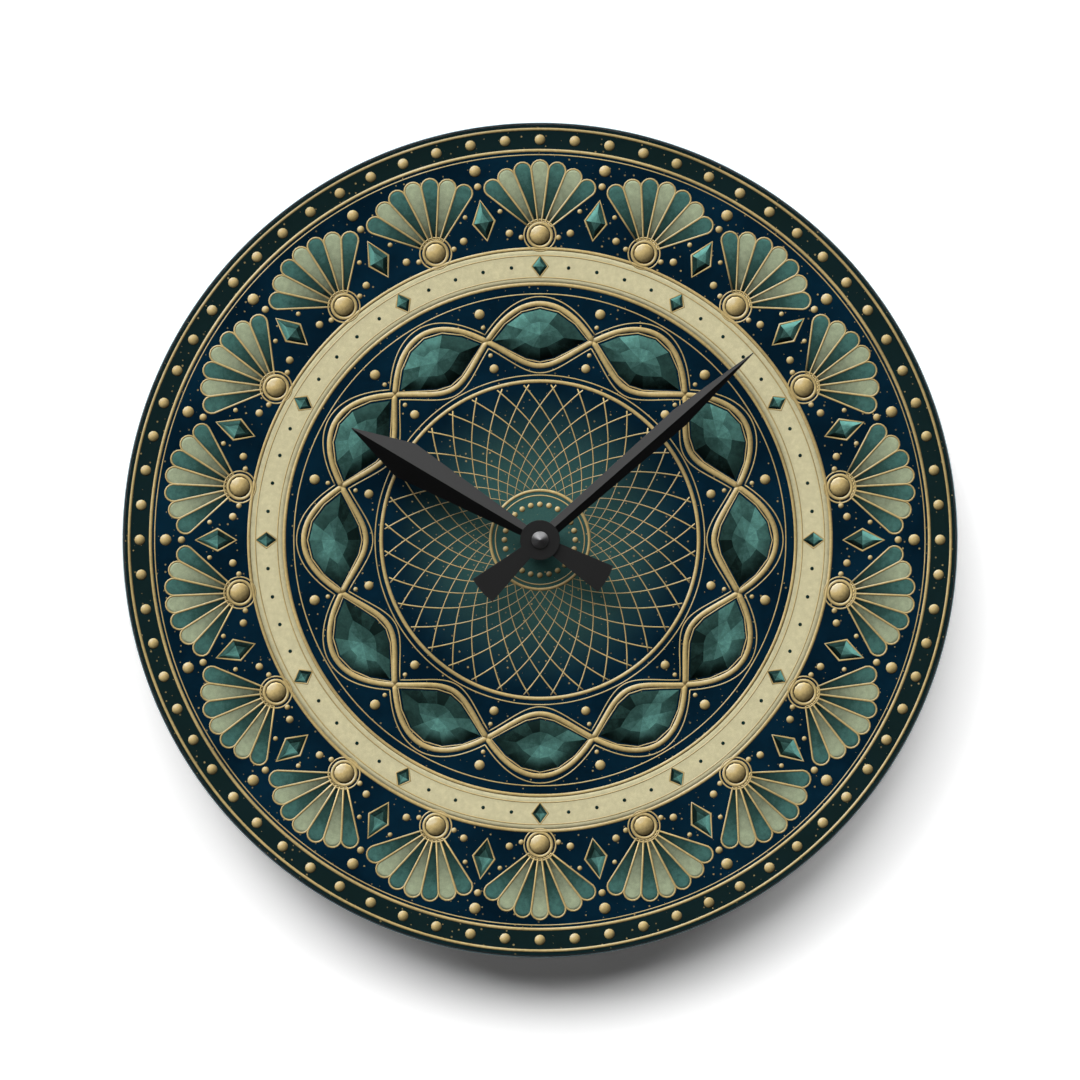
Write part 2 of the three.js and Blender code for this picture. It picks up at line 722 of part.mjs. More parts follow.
// Flat U: the bar holds the rotor's hole, and its arms carry the ends of the core
function statorPlate() {
  const left = rotorAxis.x - STATOR_HALF_LENGTH;
  const right = rotorAxis.x + STATOR_HALF_LENGTH;
  const bottom = rotorAxis.y - STATOR_HALF_HEIGHT;
  const bar = rotorAxis.y + STATOR_HALF_HEIGHT;
  const top = coilAxis.y + CORE_HEIGHT / 2;
  const corners = [
    [left, bottom],
    [right, bottom],
    [right, top],
    [right - STATOR_ARM, top],
    [right - STATOR_ARM, bar],
    [left + STATOR_ARM, bar],
    [left + STATOR_ARM, top],
    [left, top],
  ];
  const shape = new THREE.Shape(corners.map(([x, y]) => new THREE.Vector2(x, y)));
  shape.holes.push(roundHole(rotorAxis.x, rotorAxis.y, MAGNET_RADIUS + ROTOR_GAP));
  screwPlaces.forEach((place) => shape.holes.push(roundHole(place.x, place.y, SCREW_RADIUS + RUN)));
  return plate(shape, statorRear, statorRear + LAMINATION);
}

function coilCore() {
  const shape = roundedOutline(
    coilAxis.x - STATOR_HALF_LENGTH,
    coilAxis.x + STATOR_HALF_LENGTH,
    coilAxis.y - CORE_HEIGHT / 2,
    coilAxis.y + CORE_HEIGHT / 2,
    CORE_CORNER,
  );
  screwPlaces.forEach((place) => shape.holes.push(roundHole(place.x, place.y, SCREW_RADIUS + RUN)));
  return plate(shape, coreRear, coreFront);
}

function motorScrew(place) {
  const head = statorRear - SEAT;
  const screw = spindle(head - SCREW_HEAD_HEIGHT, [
    [SCREW_HEAD_RADIUS, head],
    [SCREW_RADIUS, coreFront + SCREW_BITE],
  ]);
  const slot = box(-SCREW_HEAD_RADIUS, SCREW_HEAD_RADIUS, -SCREW_RADIUS / 3, SCREW_RADIUS / 3,
    head - 2 * SCREW_HEAD_HEIGHT, head - SCREW_HEAD_HEIGHT / 2);
  return cut(screw, slot).translate(place.x, place.y, 0);
}

// Pieces along the coil are drawn upright and laid along x
const bobbinHalf = STATOR_HALF_LENGTH - STATOR_ARM - 2 * RUN;
const tubeHalfHeight = CORE_HEIGHT / 2 + RUN + BOBBIN_WALL;
const tubeHalfDepth = LAMINATION / 2 + RUN + BOBBIN_WALL;

function layAlong(geometry) {
  return geometry.rotateY(Math.PI / 2).translate(coilAxis.x, coilAxis.y, coilDepth);
}

function coilBobbin() {
  const flange = rod(BOBBIN_FLANGE_RADIUS, handAxis, -bobbinHalf, -bobbinHalf + BOBBIN_FLANGE);
  const other = rod(BOBBIN_FLANGE_RADIUS, handAxis, bobbinHalf - BOBBIN_FLANGE, bobbinHalf);
  const tube = box(-tubeHalfDepth, tubeHalfDepth, -tubeHalfHeight, tubeHalfHeight, -bobbinHalf, bobbinHalf);
  const depth = LAMINATION / 2 + RUN;
  const height = CORE_HEIGHT / 2 + RUN;
  const slot = box(-depth, depth, -height, height, -bobbinHalf - 1, bobbinHalf + 1);
  return layAlong(cut(joined(tube, flange, other), slot));
}

function coilWinding() {
  const half = bobbinHalf - BOBBIN_FLANGE - SEAT;
  const depth = tubeHalfDepth + SEAT;
  const height = tubeHalfHeight + SEAT;
  const slot = box(-depth, depth, -height, height, -half - 1, half + 1);
  return layAlong(cut(rod(WINDING_RADIUS, handAxis, -half, half), slot));
}

const magnetRear = statorRear + LAMINATION / 2 - MAGNET_HEIGHT / 2;

function rotorMagnet() {
  return ring(ARBOR_RADIUS + SEAT, MAGNET_RADIUS, magnetRear, magnetRear + MAGNET_HEIGHT);
}

function rotorPinion() {
  const shoulder = wellTop + RUN;
  const end = plateRear - RUN;
  const flange = magnetRear - SEAT;
  const pinion = gearOutline(PINION_LEAVES, FIFTH_MODULE, 0);
  return joined(
    spindle(shoulder - PIVOT_LENGTH, [
      [PIVOT_RADIUS, shoulder],
      [ARBOR_RADIUS, flange - LEVEL_GAP / 2],
      [MAGNET_RADIUS / 2, flange],
      [ARBOR_RADIUS, end],
      [PIVOT_RADIUS, end + PLATE_THICKNESS],
    ]),
    plate(pinion, level(0) - LEVEL_GAP / 4, level(0) + WHEEL_THICKNESS + LEVEL_GAP / 4),
  );
}

// Movement: circuit board with its chip and crystal, and the battery's contacts
const boardMiddle = (boardInner + boardRight) / 2;
const boardPosts = [
  new THREE.Vector2(boardMiddle, boardTop - BOARD_ARM / 2),
  new THREE.Vector2(boardMiddle, boardBottom + BOARD_ARM / 2),
];

function circuitBoard() {
  const shape = new THREE.Shape();
  shape.moveTo(boardLeft, boardTop);
  shape.lineTo(boardLeft, boardTop - BOARD_ARM);
  shape.lineTo(boardInner, boardTop - BOARD_ARM);
  shape.lineTo(boardInner, boardBottom);
  shape.lineTo(boardRight, boardBottom);
  shape.lineTo(boardRight, boardTop);
  boardPosts.forEach((place) => shape.holes.push(roundHole(place.x, place.y, STAKE_RADIUS + RUN)));
  return plate(shape, boardRear, boardFront);
}

function controlChip() {
  const base = boardRear - SEAT;
  return turned([
    [0, base - CHIP_HEIGHT],
    [CHIP_RADIUS / 2, base - 0.8 * CHIP_HEIGHT],
    [CHIP_RADIUS, base],
    [0, base],
  ]).translate(boardMiddle, (boardPosts[0].y + boardPosts[1].y) / 2, 0);
}

function quartzCrystal() {
  const facets = facetsFor(CRYSTAL_RADIUS);
  const can = new THREE.CylinderGeometry(CRYSTAL_RADIUS, CRYSTAL_RADIUS, CRYSTAL_LENGTH, facets);
  return can.translate(
    (boardLeft + boardInner) / 2,
    boardTop - BOARD_ARM / 2,
    boardRear - SEAT - CRYSTAL_RADIUS,
  );
}

function positiveContact() {
  const path = [
    new THREE.Vector2(contactFace, boardBottom + BOARD_ARM),
    new THREE.Vector2(contactFace, batteryAxis.x - CONTACT_WIDTH / 2),
  ];
  return plate(ribbonShape(path, CONTACT_THICKNESS), contactRear, contactFront);
}

function negativeContact() {
  const back = -contactFace - CONTACT_BULGE;
  const path = [
    new THREE.Vector2(back, batteryAxis.x - CONTACT_WIDTH / 2),
    new THREE.Vector2(-contactFace, batteryAxis.x),
    new THREE.Vector2(back, batteryAxis.x + CONTACT_WIDTH / 2),
    new THREE.Vector2(back, roomBottom + SEAT),
    new THREE.Vector2(boardInner + BOARD_ARM / 2, roomBottom + SEAT),
  ];
  return plate(ribbonShape(path, CONTACT_THICKNESS), contactRear, contactFront);
}

function battery() {
  const half = BATTERY_LENGTH / 2;
  const cell = spindle(-half, [
    [BATTERY_DIAMETER / 2, half - BATTERY_NUB_LENGTH],
    [BATTERY_NUB_RADIUS, half],
  ]);
  return cell.rotateY(Math.PI / 2).translate(0, batteryAxis.x, batteryAxis.y);
}

// Movement: moulded case base
const caseOutline = roundedOutline(-caseHalfWidth, caseHalfWidth, caseBottom, caseTop, CASE_CORNER);
const latchRear = COVER_THICKNESS + LIP_DEPTH - LATCH_HEIGHT - RUN;
const latchPlaces = [
  { x: -LATCH_PLACE, y: roomTop, wide: LATCH_WIDTH / 2, tall: 0 },
  { x: LATCH_PLACE, y: roomTop, wide: LATCH_WIDTH / 2, tall: 0 },
  { x: -innerHalfWidth, y: LATCH_PLACE, wide: 0, tall: LATCH_WIDTH / 2 },
  { x: innerHalfWidth, y: LATCH_PLACE, wide: 0, tall: LATCH_WIDTH / 2 },
];

// Block around a latch, grown by a clearance and by its reach into the wall
function latchBlock({ x, y, wide, tall }, inward, outward, clearance) {
  const across = wide > 0 ? [x - wide - clearance, x + wide + clearance] : [
    x - (x > 0 ? inward : outward),
    x + (x > 0 ? outward : inward),
  ];
  const upright = tall > 0 ? [y - tall - clearance, y + tall + clearance] : [y - inward, y + outward];
  return box(...across, ...upright, latchRear - clearance, latchRear + LATCH_HEIGHT + clearance);
}

// Cradle rib under the battery
function cradleRib(x) {
  const floor = caseDepth - BAY_FLOOR / 2;
  const rib = box(
    x - CRADLE_WIDTH / 2,
    x + CRADLE_WIDTH / 2,
    bayBottom - CASE_WALL / 2,
    bayTop + PARTITION / 2,
    batteryAxis.y,
    floor,
  );
  const seat = rod(BATTERY_DIAMETER / 2 + BATTERY_PLAY / 2, handAxis, -CRADLE_WIDTH, CRADLE_WIDTH);
  return cut(rib, seat.rotateY(Math.PI / 2).translate(x, batteryAxis.x, batteryAxis.y));
}

function stakedPost(place, front, rear, thickness) {
  return joined(
    rod(POST_RADIUS, place, front + SEAT, frontInner + FRONT_WALL / 2),
    rod(STAKE_RADIUS, place, rear - STAKE_PROUD, front + thickness),
  );
}

function caseBase() {
  const room = box(-innerHalfWidth, innerHalfWidth, roomBottom, roomTop, -1, frontInner);
  const coverFront = COVER_THICKNESS + SEAT;
  const coverPlace = box(-2 * caseHalfWidth, 2 * caseHalfWidth, coverSeam, 2 * caseTop, -1, coverFront);
  const bay = box(-bayHalfWidth, bayHalfWidth, bayBottom, bayTop, -1, caseDepth - BAY_FLOOR);
  const slots = [-1, 1].map((side) => {
    const outer = side * bayHalfWidth;
    const inner = side * (contactFace - CONTACT_PLAY);
    return box(Math.min(outer, inner), Math.max(outer, inner), bayTop - 1, roomBottom + 1,
      contactRear - RUN, contactFront + RUN);
  });
  const notch = rod(FINGER_NOTCH_RADIUS, handAxis, -CASE_WALL, CASE_WALL).rotateX(Math.PI / 2);
  const windows = latchPlaces.map((latch) => latchBlock(latch, RUN, 2 * CASE_WALL, 3 * RUN));
  const shell = cut(plate(caseOutline, 0, caseDepth), room, coverPlace, bay, ...slots, ...windows,
    notch.translate(0, caseBottom + CASE_WALL / 2, 0));
  const bearings = [minuteAxis, settingAxis].map((axis) => cut(
    rod(PIVOT_BOSS_RADIUS, axis, pivotBossFront, frontInner + FRONT_WALL / 2),
    rod(PIVOT_RADIUS + PIVOT_PLAY, axis, pivotBossFront - 1, pivotBossFront + PIVOT_LENGTH),
  ));
  const motorPosts = screwPlaces.map((place) => cut(
    rod(POST_RADIUS, place, coreFront + SEAT, frontInner + FRONT_WALL / 2),
    rod(SCREW_RADIUS + RUN, place, coreFront - 1, coreFront + SCREW_BITE + RUN),
  ));
  const whole = joined(
    shell,
    ...[-1, 1].map((side) => cradleRib(side * CRADLE_PLACE)),
    ...postPlaces.map((place) => stakedPost(place, plateFront, plateRear, SEAT + POST_RADIUS)),
    ...boardPosts.map((place) => stakedPost(place, boardFront, boardRear, SEAT + POST_RADIUS)),
    ...bearings,
    ...motorPosts,
  );
  return cut(whole, rod(bushRadius + RUN, handAxis, frontInner - 1, caseDepth + 1));
}

// Movement: rear cover with its lip, latches, bearing bosses and the well of the knob
function rearCover() {
  const lid = common(
    plate(caseOutline, 0, COVER_THICKNESS),
    box(-2 * caseHalfWidth, 2 * caseHalfWidth, coverSeam + RUN, 2 * caseTop, -1, COVER_THICKNESS + 1),
  );
  const side = innerHalfWidth - LIP_PLAY;
  const lipTop = roomTop - LIP_PLAY;
  const lipBottom = roomBottom + LIP_PLAY;
  const lipFront = COVER_THICKNESS + LIP_DEPTH;
  const insideLip = side - LIP_WALL;
  const lip = cut(
    box(-side, side, lipBottom, lipTop, COVER_THICKNESS / 2, lipFront),
    box(-insideLip, insideLip, lipBottom + LIP_WALL, lipTop - LIP_WALL, -1, lipFront + 1),
  );
  const latches = latchPlaces.map((latch) => latchBlock(latch, LIP_PLAY + LIP_WALL / 2, LATCH_REACH, 0));
  const well = KNOB_RADIUS + WELL_PLAY;
  const axes = [handAxis, thirdAxis, fourthAxis, fifthAxis, rotorAxis];
  const bosses = axes.map((axis) => rod(PIVOT_BOSS_RADIUS, axis, COVER_THICKNESS / 2, wellTop));
  const socketRear = wellTop - PIVOT_LENGTH;
  const sockets = axes.map((axis) => rod(PIVOT_RADIUS + PIVOT_PLAY, axis, socketRear, wellTop + 1));
  const whole = joined(lid, lip, ...latches, ...bosses, rod(well + WELL_WALL, settingAxis, 0, wellTop));
  return cut(whole, ...sockets, rod(well, settingAxis, -1, knobFloor),
    rod(STEM_RADIUS + RUN, settingAxis, -1, wellTop + 1));
}

// Hanger hook: a stamped strap, bent back over the case, with an eye for the nail
function hangerHook() {
  const shelf = caseTop + HANGER_CLEARANCE;
  const top = shelf + HANGER_TAB;
  const path = [
    new THREE.Vector2(hangerRear, -HANGER_RADIUS),
    new THREE.Vector2(hangerRear, shelf),
    new THREE.Vector2(HANGER_WALL_GAP, shelf),
    new THREE.Vector2(HANGER_WALL_GAP, top),
  ];
  const bent = plate(ribbonShape(path.reverse(), HANGER_THICKNESS), -HANGER_RADIUS, HANGER_RADIUS);
  bent.rotateY(-Math.PI / 2);
  const half = HANGER_WIDTH / 2;
  const join = Math.asin(half / HANGER_RADIUS);
  const outline = new THREE.Shape([
    ...arc(0, top - half, half, 0, Math.PI),
    ...arc(0, 0, HANGER_RADIUS, Math.PI / 2 + join, 2.5 * Math.PI - join),
  ]);
  const strap = common(bent, plate(outline, 0, 2 * hangerRear));
  const eyeTop = top - EYE_EDGE;
  const eyeBottom = eyeTop - EYE_HEIGHT;
  const eyeSide = EYE_WIDTH / 2 - EYE_CORNER;
  const lean = Math.PI / 2 - Math.atan2(EYE_HEIGHT - 2 * EYE_CORNER, eyeSide);
  const eye = new THREE.Shape([
    ...arc(eyeSide, eyeBottom + EYE_CORNER, EYE_CORNER, -Math.PI / 2, lean),
    ...arc(0, eyeTop - EYE_CORNER, EYE_CORNER, lean, Math.PI - lean),
    ...arc(-eyeSide, eyeBottom + EYE_CORNER, EYE_CORNER, Math.PI - lean, 1.5 * Math.PI),
  ]);
  return cut(strap, plate(eye, -1, hangerRear), rod(bushHole, handAxis, 0, 2 * hangerRear));
}

// Assembly
const clock = new THREE.Group();
clock.rotation.x = Math.PI / 2;

function add(name, geometry, color, roughness, metalness, axis = handAxis, clockDegrees = 0) {
  const mesh = new THREE.Mesh(geometry, new THREE.MeshStandardMaterial({ color, roughness, metalness }));
  mesh.name = name;
  mesh.position.set(axis.x, axis.y, 0);
  mesh.rotation.z = -THREE.MathUtils.degToRad(clockDegrees);
  clock.add(mesh);
}

const CLEAR = 0xdfeaec;
const NAVY = 0x0a2230;
const RUBBER = 0x1a1a1b;
const STEEL = 0xb9bcc0;
const BRASS = 0xc2a04c;
const BLACK = 0x202021;
const CASE_BLACK = 0x1c1c1e;
const PALE_PLASTIC = 0xe6e4dc;
const GREY_PLASTIC = 0x8d9095;
const COPPER = 0xa8572b;
const BOARD_GREEN = 0x2c6242;
const IRON = 0x8b8e92;
const MAGNET = 0x3b3c40;
const CELL = 0x3a4a5a;

add('acrylic_disc', acrylicDisc(), CLEAR, 0.05, 0);
add('print_film', printFilm(), NAVY, 0.5, 0);
const gasket = ring(bushHole, GASKET_RADIUS, gasketRear, gasketRear + GASKET_THICKNESS);
add('shaft_gasket', gasket, RUBBER, 0.9, 0);
add('hanger_hook', hangerHook(), STEEL, 0.35, 1);
const washer = ring(bushHole, WASHER_RADIUS, washerRear, washerRear + WASHER_THICKNESS);
add('dial_washer', washer, BRASS, 0.3, 1);
add('dial_nut', dialNut(), BRASS, 0.3, 1);

const hourCollet = hourTubeRadius + COLLET_WALL;
const hourBlade = [HOUR_LENGTH, HOUR_SHOULDER, HOUR_SHOULDER_HALF, HOUR_ROOT_HALF];
const hourHand = hand(hourHandRear, hourCollet + SEAT, ...hourBlade);
add('hour_hand', hourHand, BLACK, 0.45, 0.2, handAxis, HOUR_CLOCK_DEGREES);
const hourColletHole = rod(hourTubeRadius + SEAT, handAxis, hourColletRear - 1, hourHandFront + 1);
const hourHandBush = collet(hourColletHole, hourCollet, hourColletRear, hourHandFront);
add('hour_hand_bush', hourHandBush, BRASS, 0.3, 1);

const minuteCollet = MINUTE_SHAFT_RADIUS + COLLET_WALL;
const minuteBlade = [MINUTE_LENGTH, MINUTE_SHOULDER, MINUTE_SHOULDER_HALF, MINUTE_ROOT_HALF];
const minuteHand = hand(minuteHandRear, minuteCollet + SEAT, ...minuteBlade);
add('minute_hand', minuteHand, BLACK, 0.45, 0.2, handAxis, MINUTE_CLOCK_DEGREES);
const minuteColletHole = keyedEnd(SEAT, minuteColletRear - 1, minuteHandFront + 1);
const minuteHandBush = collet(minuteColletHole, minuteCollet, minuteColletRear, minuteHandFront);
add('minute_hand_bush', minuteHandBush, BRASS, 0.3, 1);
add('cap_nut', capNut(), STEEL, 0.2, 1);

add('case_base', caseBase(), CASE_BLACK, 0.6, 0);
add('rear_cover', rearCover(), CASE_BLACK, 0.6, 0);
add('threaded_bush', threadedBush(), BRASS, 0.3, 1);
add('gear_plate', gearPlate(), GREY_PLASTIC, 0.6, 0);
add('minute_shaft', minuteShaft(), BRASS, 0.3, 1);
add('centre_wheel', centreWheel(), BRASS, 0.35, 1);
add('clutch_spring', clutchSpring(), STEEL, 0.3, 1);
add('minute_wheel', minuteWheel(), PALE_PLASTIC, 0.5, 0, minuteAxis);
add('hour_wheel', hourWheel(), PALE_PLASTIC, 0.5, 0);
add('setting_stem', settingStem(), PALE_PLASTIC, 0.5, 0, settingAxis);
add('setting_knob', settingKnob(), PALE_PLASTIC, 0.5, 0, settingAxis);
add('third_wheel', trainWheel(thirdAxis, fourthAxis, THIRD_TEETH, THIRD_MODULE, 2, CENTRE_MODULE),
  PALE_PLASTIC, 0.5, 0, thirdAxis);
add('fourth_wheel', trainWheel(fourthAxis, fifthAxis, FOURTH_TEETH, FOURTH_MODULE, 1, THIRD_MODULE),
  PALE_PLASTIC, 0.5, 0, fourthAxis);
add('fifth_wheel', trainWheel(fifthAxis, rotorAxis, FIFTH_TEETH, FIFTH_MODULE, 0, FOURTH_MODULE),
  PALE_PLASTIC, 0.5, 0, fifthAxis);
add('rotor_pinion', rotorPinion(), PALE_PLASTIC, 0.5, 0, rotorAxis);
add('rotor_magnet', rotorMagnet(), MAGNET, 0.4, 0.6, rotorAxis);
add('stator_plate', statorPlate(), IRON, 0.4, 1);
add('coil_core', coilCore(), IRON, 0.4, 1);
add('coil_bobbin', coilBobbin(), PALE_PLASTIC, 0.5, 0);
add('coil_winding', coilWinding(), COPPER, 0.35, 0.8);
add('motor_screw_left', motorScrew(screwPlaces[0]), STEEL, 0.3, 1);
add('motor_screw_right', motorScrew(screwPlaces[1]), STEEL, 0.3, 1);
add('circuit_board', circuitBoard(), BOARD_GREEN, 0.5, 0);
add('control_chip', controlChip(), RUBBER, 0.4, 0);
add('quartz_crystal', quartzCrystal(), STEEL, 0.25, 1);
add('contact_positive', positiveContact(), STEEL, 0.3, 1);
add('contact_negative', negativeContact(), STEEL, 0.3, 1);
add('battery', battery(), CELL, 0.4, 0.3);

export default clock;
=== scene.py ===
import math

import bmesh
import bpy
from bpy.props import FloatProperty, FloatVectorProperty, IntProperty, PointerProperty
from mathutils import Matrix, Vector


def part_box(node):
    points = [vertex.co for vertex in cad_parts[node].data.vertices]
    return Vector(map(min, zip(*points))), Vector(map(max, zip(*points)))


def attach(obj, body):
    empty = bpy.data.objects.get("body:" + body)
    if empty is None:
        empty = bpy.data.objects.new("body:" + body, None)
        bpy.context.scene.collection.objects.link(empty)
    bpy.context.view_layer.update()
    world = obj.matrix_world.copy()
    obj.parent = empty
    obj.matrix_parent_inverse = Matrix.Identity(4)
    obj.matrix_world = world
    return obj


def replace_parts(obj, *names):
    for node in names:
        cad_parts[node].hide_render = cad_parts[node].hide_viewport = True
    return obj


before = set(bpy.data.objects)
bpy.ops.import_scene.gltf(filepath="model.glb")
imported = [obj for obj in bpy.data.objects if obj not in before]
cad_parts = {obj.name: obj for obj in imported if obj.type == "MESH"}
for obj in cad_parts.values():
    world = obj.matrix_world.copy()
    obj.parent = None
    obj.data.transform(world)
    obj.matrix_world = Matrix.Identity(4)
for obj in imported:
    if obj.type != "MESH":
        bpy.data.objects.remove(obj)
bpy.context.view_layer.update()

bl_info = {
    "name": "Acrylic wall clock",
    "version": (1, 0, 0),
    "blender": (4, 5, 0),
    "location": "3D View > Sidebar > Wall clock",
    "description": "Dresses an acrylic wall clock: printed dial, folded hands and battery movement",
    "category": "Object",
}

MM = 0.001
FULL_TURN = 2 * math.pi
WHITE = (1, 1, 1)


# Node trees

class Value:
    """A socket that arithmetic can be done on. Each operation adds a Math node."""

    def __init__(self, tree, socket):
        self.tree = tree
        self.socket = socket

    def __add__(self, other):
        return self.tree.math("ADD", self, other)

    def __radd__(self, other):
        return self.tree.math("ADD", other, self)

    def __sub__(self, other):
        return self.tree.math("SUBTRACT", self, other)

    def __rsub__(self, other):
        return self.tree.math("SUBTRACT", other, self)

    def __mul__(self, other):
        return self.tree.math("MULTIPLY", self, other)

    def __truediv__(self, other):
        return self.tree.math("DIVIDE", self, other)

    def __gt__(self, other):
        return self.tree.math("GREATER_THAN", self, other)

    def __lt__(self, other):
        return self.tree.math("LESS_THAN", self, other)


class Made:
    """A node just added. Its outputs are taken by name or number."""

    def __init__(self, tree, node):
        self.tree = tree
        self.node = node

    def __getitem__(self, key):
        return Value(self.tree, self.node.outputs[key])


class Tree:
    """Adds nodes to the tree of a material, a world or a geometry group."""

    def __init__(self, group):
        self.group = group
        group.nodes.clear()

    def node(self, kind, settings=None, sockets=None):
        made = self.group.nodes.new(kind)
        for key, setting in (settings or {}).items():
            if key == "stops":
                self.set_stops(made.color_ramp, setting)
            else:
                setattr(made, key, setting)
        for key, value in (sockets or {}).items():
            if isinstance(value, Value):
                self.group.links.new(value.socket, made.inputs[key])
            else:
                made.inputs[key].default_value = value
        return Made(self, made)

    @staticmethod
    def set_stops(ramp, stops):
        while len(ramp.elements) > 1:
            ramp.elements.remove(ramp.elements[-1])
        ramp.elements[0].position = stops[0][0]
        ramp.elements[0].color = (*stops[0][1], 1)
        for place, colour in stops[1:]:
            ramp.elements.new(place).color = (*colour, 1)

    def math(self, operation, *operands):
        return self.node("ShaderNodeMath", {"operation": operation}, dict(enumerate(operands)))[0]

    def vector(self, operation, *operands):
        return self.node("ShaderNodeVectorMath", {"operation": operation}, dict(enumerate(operands)))

    def mix(self, factor, first, second):
        sockets = {0: factor, 6: first, 7: second}
        return self.node("ShaderNodeMix", {"data_type": "RGBA"}, sockets)[2]

    def step(self, value, start, end):
        settings = {"interpolation_type": "SMOOTHSTEP"}
        return self.node("ShaderNodeMapRange", settings, {0: value, 1: start, 2: end})[0]

    def ramp(self, value, stops):
        return self.node("ShaderNodeValToRGB", {"stops": stops}, {0: value})[0]

    def place(self):
        return self.node("ShaderNodeTexCoord")["Object"]

    def noise(self, place, size, detail=2.0, roughness=0.5):
        sockets = {"Vector": place, "Scale": 1 / size, "Detail": detail, "Roughness": roughness}
        return self.node("ShaderNodeTexNoise", None, sockets)["Fac"]

    def stretched(self, place, scale):
        return self.node("ShaderNodeMapping", None, {"Vector": place, "Scale": scale})[0]

    def parts(self, place):
        return self.node("ShaderNodeSeparateXYZ", None, {0: place})

    def joined(self, x, y, z):
        return self.node("ShaderNodeCombineXYZ", None, {0: x, 1: y, 2: z})[0]

    def toward(self, way, target):
        return self.vector("DOT_PRODUCT", way, Vector(target).normalized())["Value"]

    def off_axis(self, axes):
        """Distance from the hands' axis."""
        return self.vector("LENGTH", self.joined(axes[0], 0, axes[2]))["Value"]

    def blend(self, share, first, second):
        return self.node("ShaderNodeMixShader", None, {0: share, 1: first, 2: second})[0]

    def bump(self, height, strength, distance):
        sockets = {"Strength": strength, "Distance": distance, "Height": height}
        return self.node("ShaderNodeBump", None, sockets)["Normal"]

    def attribute(self, name, output):
        return self.node("ShaderNodeAttribute", {"attribute_name": name})[output]

    def principled(self, sockets):
        return self.node("ShaderNodeBsdfPrincipled", None, sockets)[0]

    def surface(self, shader):
        self.node("ShaderNodeOutputMaterial", None, {"Surface": shader})


def rgba(colour):
    return (*colour, 1.0)


def toned(colour, share):
    return tuple(min(part * share, 1.0) for part in colour)


def new_material(name):
    material = bpy.data.materials.new(name)
    material.use_nodes = True
    return material, Tree(material.node_tree)


# Finishes: sizes of their patterns

FLOW_MARKS = 9 * MM
SCUFFS = 1.5 * MM
DRAWN_GRAIN = 0.6 * MM
SHEET_STAINS = 6 * MM
TURNED_STAINS = 2.5 * MM
TOOL_MARK_DEPTH = 0.02 * MM
COATING_PEEL = 0.35 * MM
COATING_RUB = 11 * MM
ENAMEL_MOTTLE = 1.6 * MM
ENAMEL_STREAKS = 0.35 * MM
GOLD_MOTTLE = 0.9 * MM
GOLD_SWEEP = 22 * MM
GROUND_CLOUDS = 26 * MM
FILM_GRAIN = 0.5 * MM
GOLD_DUST = 2.6 * MM
ACRYLIC_RIPPLE = 35 * MM
POLISH_MARKS = 1.2 * MM
ACRYLIC_IOR = 1.49


# Finishes

def moulded_plastic(name, colour, roughness, grain, depth):
    """Injection moulded plastic with a fine eroded grain and faint flow marks."""
    material, tree = new_material(name)
    place = tree.place()
    flow = tree.noise(tree.stretched(place, (1, 1, 2.5)), FLOW_MARKS, 3)
    pits = tree.noise(place, grain, 2, 0.6)
    shade = tree.step(flow * 0.7 + pits * 0.3, 0.3, 0.7)
    base = tree.mix(shade, rgba(toned(colour, 0.8)), rgba(toned(colour, 1.2)))
    tree.surface(tree.principled({
        "Base Color": base,
        "Roughness": roughness - 0.06 + pits * 0.14,
        "Normal": tree.bump(pits, 0.5, depth),
    }))
    return material


# Print on the battery, measured along it from its middle
BAND_START = 12.5 * MM
STRIPE_PLACE, STRIPE_HALF = 11.2 * MM, 0.45 * MM
SIGN_PLACE, SIGN_ARM, SIGN_HALF = 19.2 * MM, 1.5 * MM, 0.3 * MM
NUB_START, NUB_REACH = 23.6 * MM, 4.5 * MM
PLATE_START, PLATE_REACH = -24.7 * MM, 5.3 * MM
TERMINAL_STEEL = (0.62, 0.62, 0.6)


def battery_skin(name, colour, pale, middle):
    """A sleeved dry cell: two-tone wrap with signs at its ends, plated steel terminals."""
    material, tree = new_material(name)
    place = tree.place()
    axes = tree.parts(place)
    along = axes[0]
    across, up = axes[1] - middle.y, axes[2] - middle.z
    radius = tree.math("SQRT", across * across + up * up)
    band = along > BAND_START
    stripe = tree.math("ABSOLUTE", along - STRIPE_PLACE) < STRIPE_HALF
    wrap = tree.mix(tree.math("MAXIMUM", band, stripe), rgba(colour), rgba(pale))
    near = tree.math("ABSOLUTE", tree.math("ABSOLUTE", along) - SIGN_PLACE)
    over = tree.math("ABSOLUTE", up)
    bar = (near < SIGN_ARM) * (over < SIGN_HALF)
    post = (over < SIGN_ARM) * (near < SIGN_HALF) * (along > 0)
    sign = tree.math("MAXIMUM", bar, post) * (across > 0)
    wrap = tree.mix(sign, wrap, tree.mix(band, rgba(pale), rgba(colour)))
    nub = (along > NUB_START) * (radius < NUB_REACH)
    plate = (along < PLATE_START) * (radius < PLATE_REACH)
    steel = tree.math("MAXIMUM", nub, plate)
    scuffs = tree.noise(tree.stretched(place, (0.3, 1, 1)), SCUFFS, 3)
    wrap = tree.mix(scuffs * 0.3, wrap, rgba(toned(colour, 1.6)))
    tree.surface(tree.principled({
        "Base Color": tree.mix(steel, wrap, rgba(TERMINAL_STEEL)),
        "Metallic": steel,
        "Roughness": 0.24 + scuffs * 0.16,
    }))
    return material


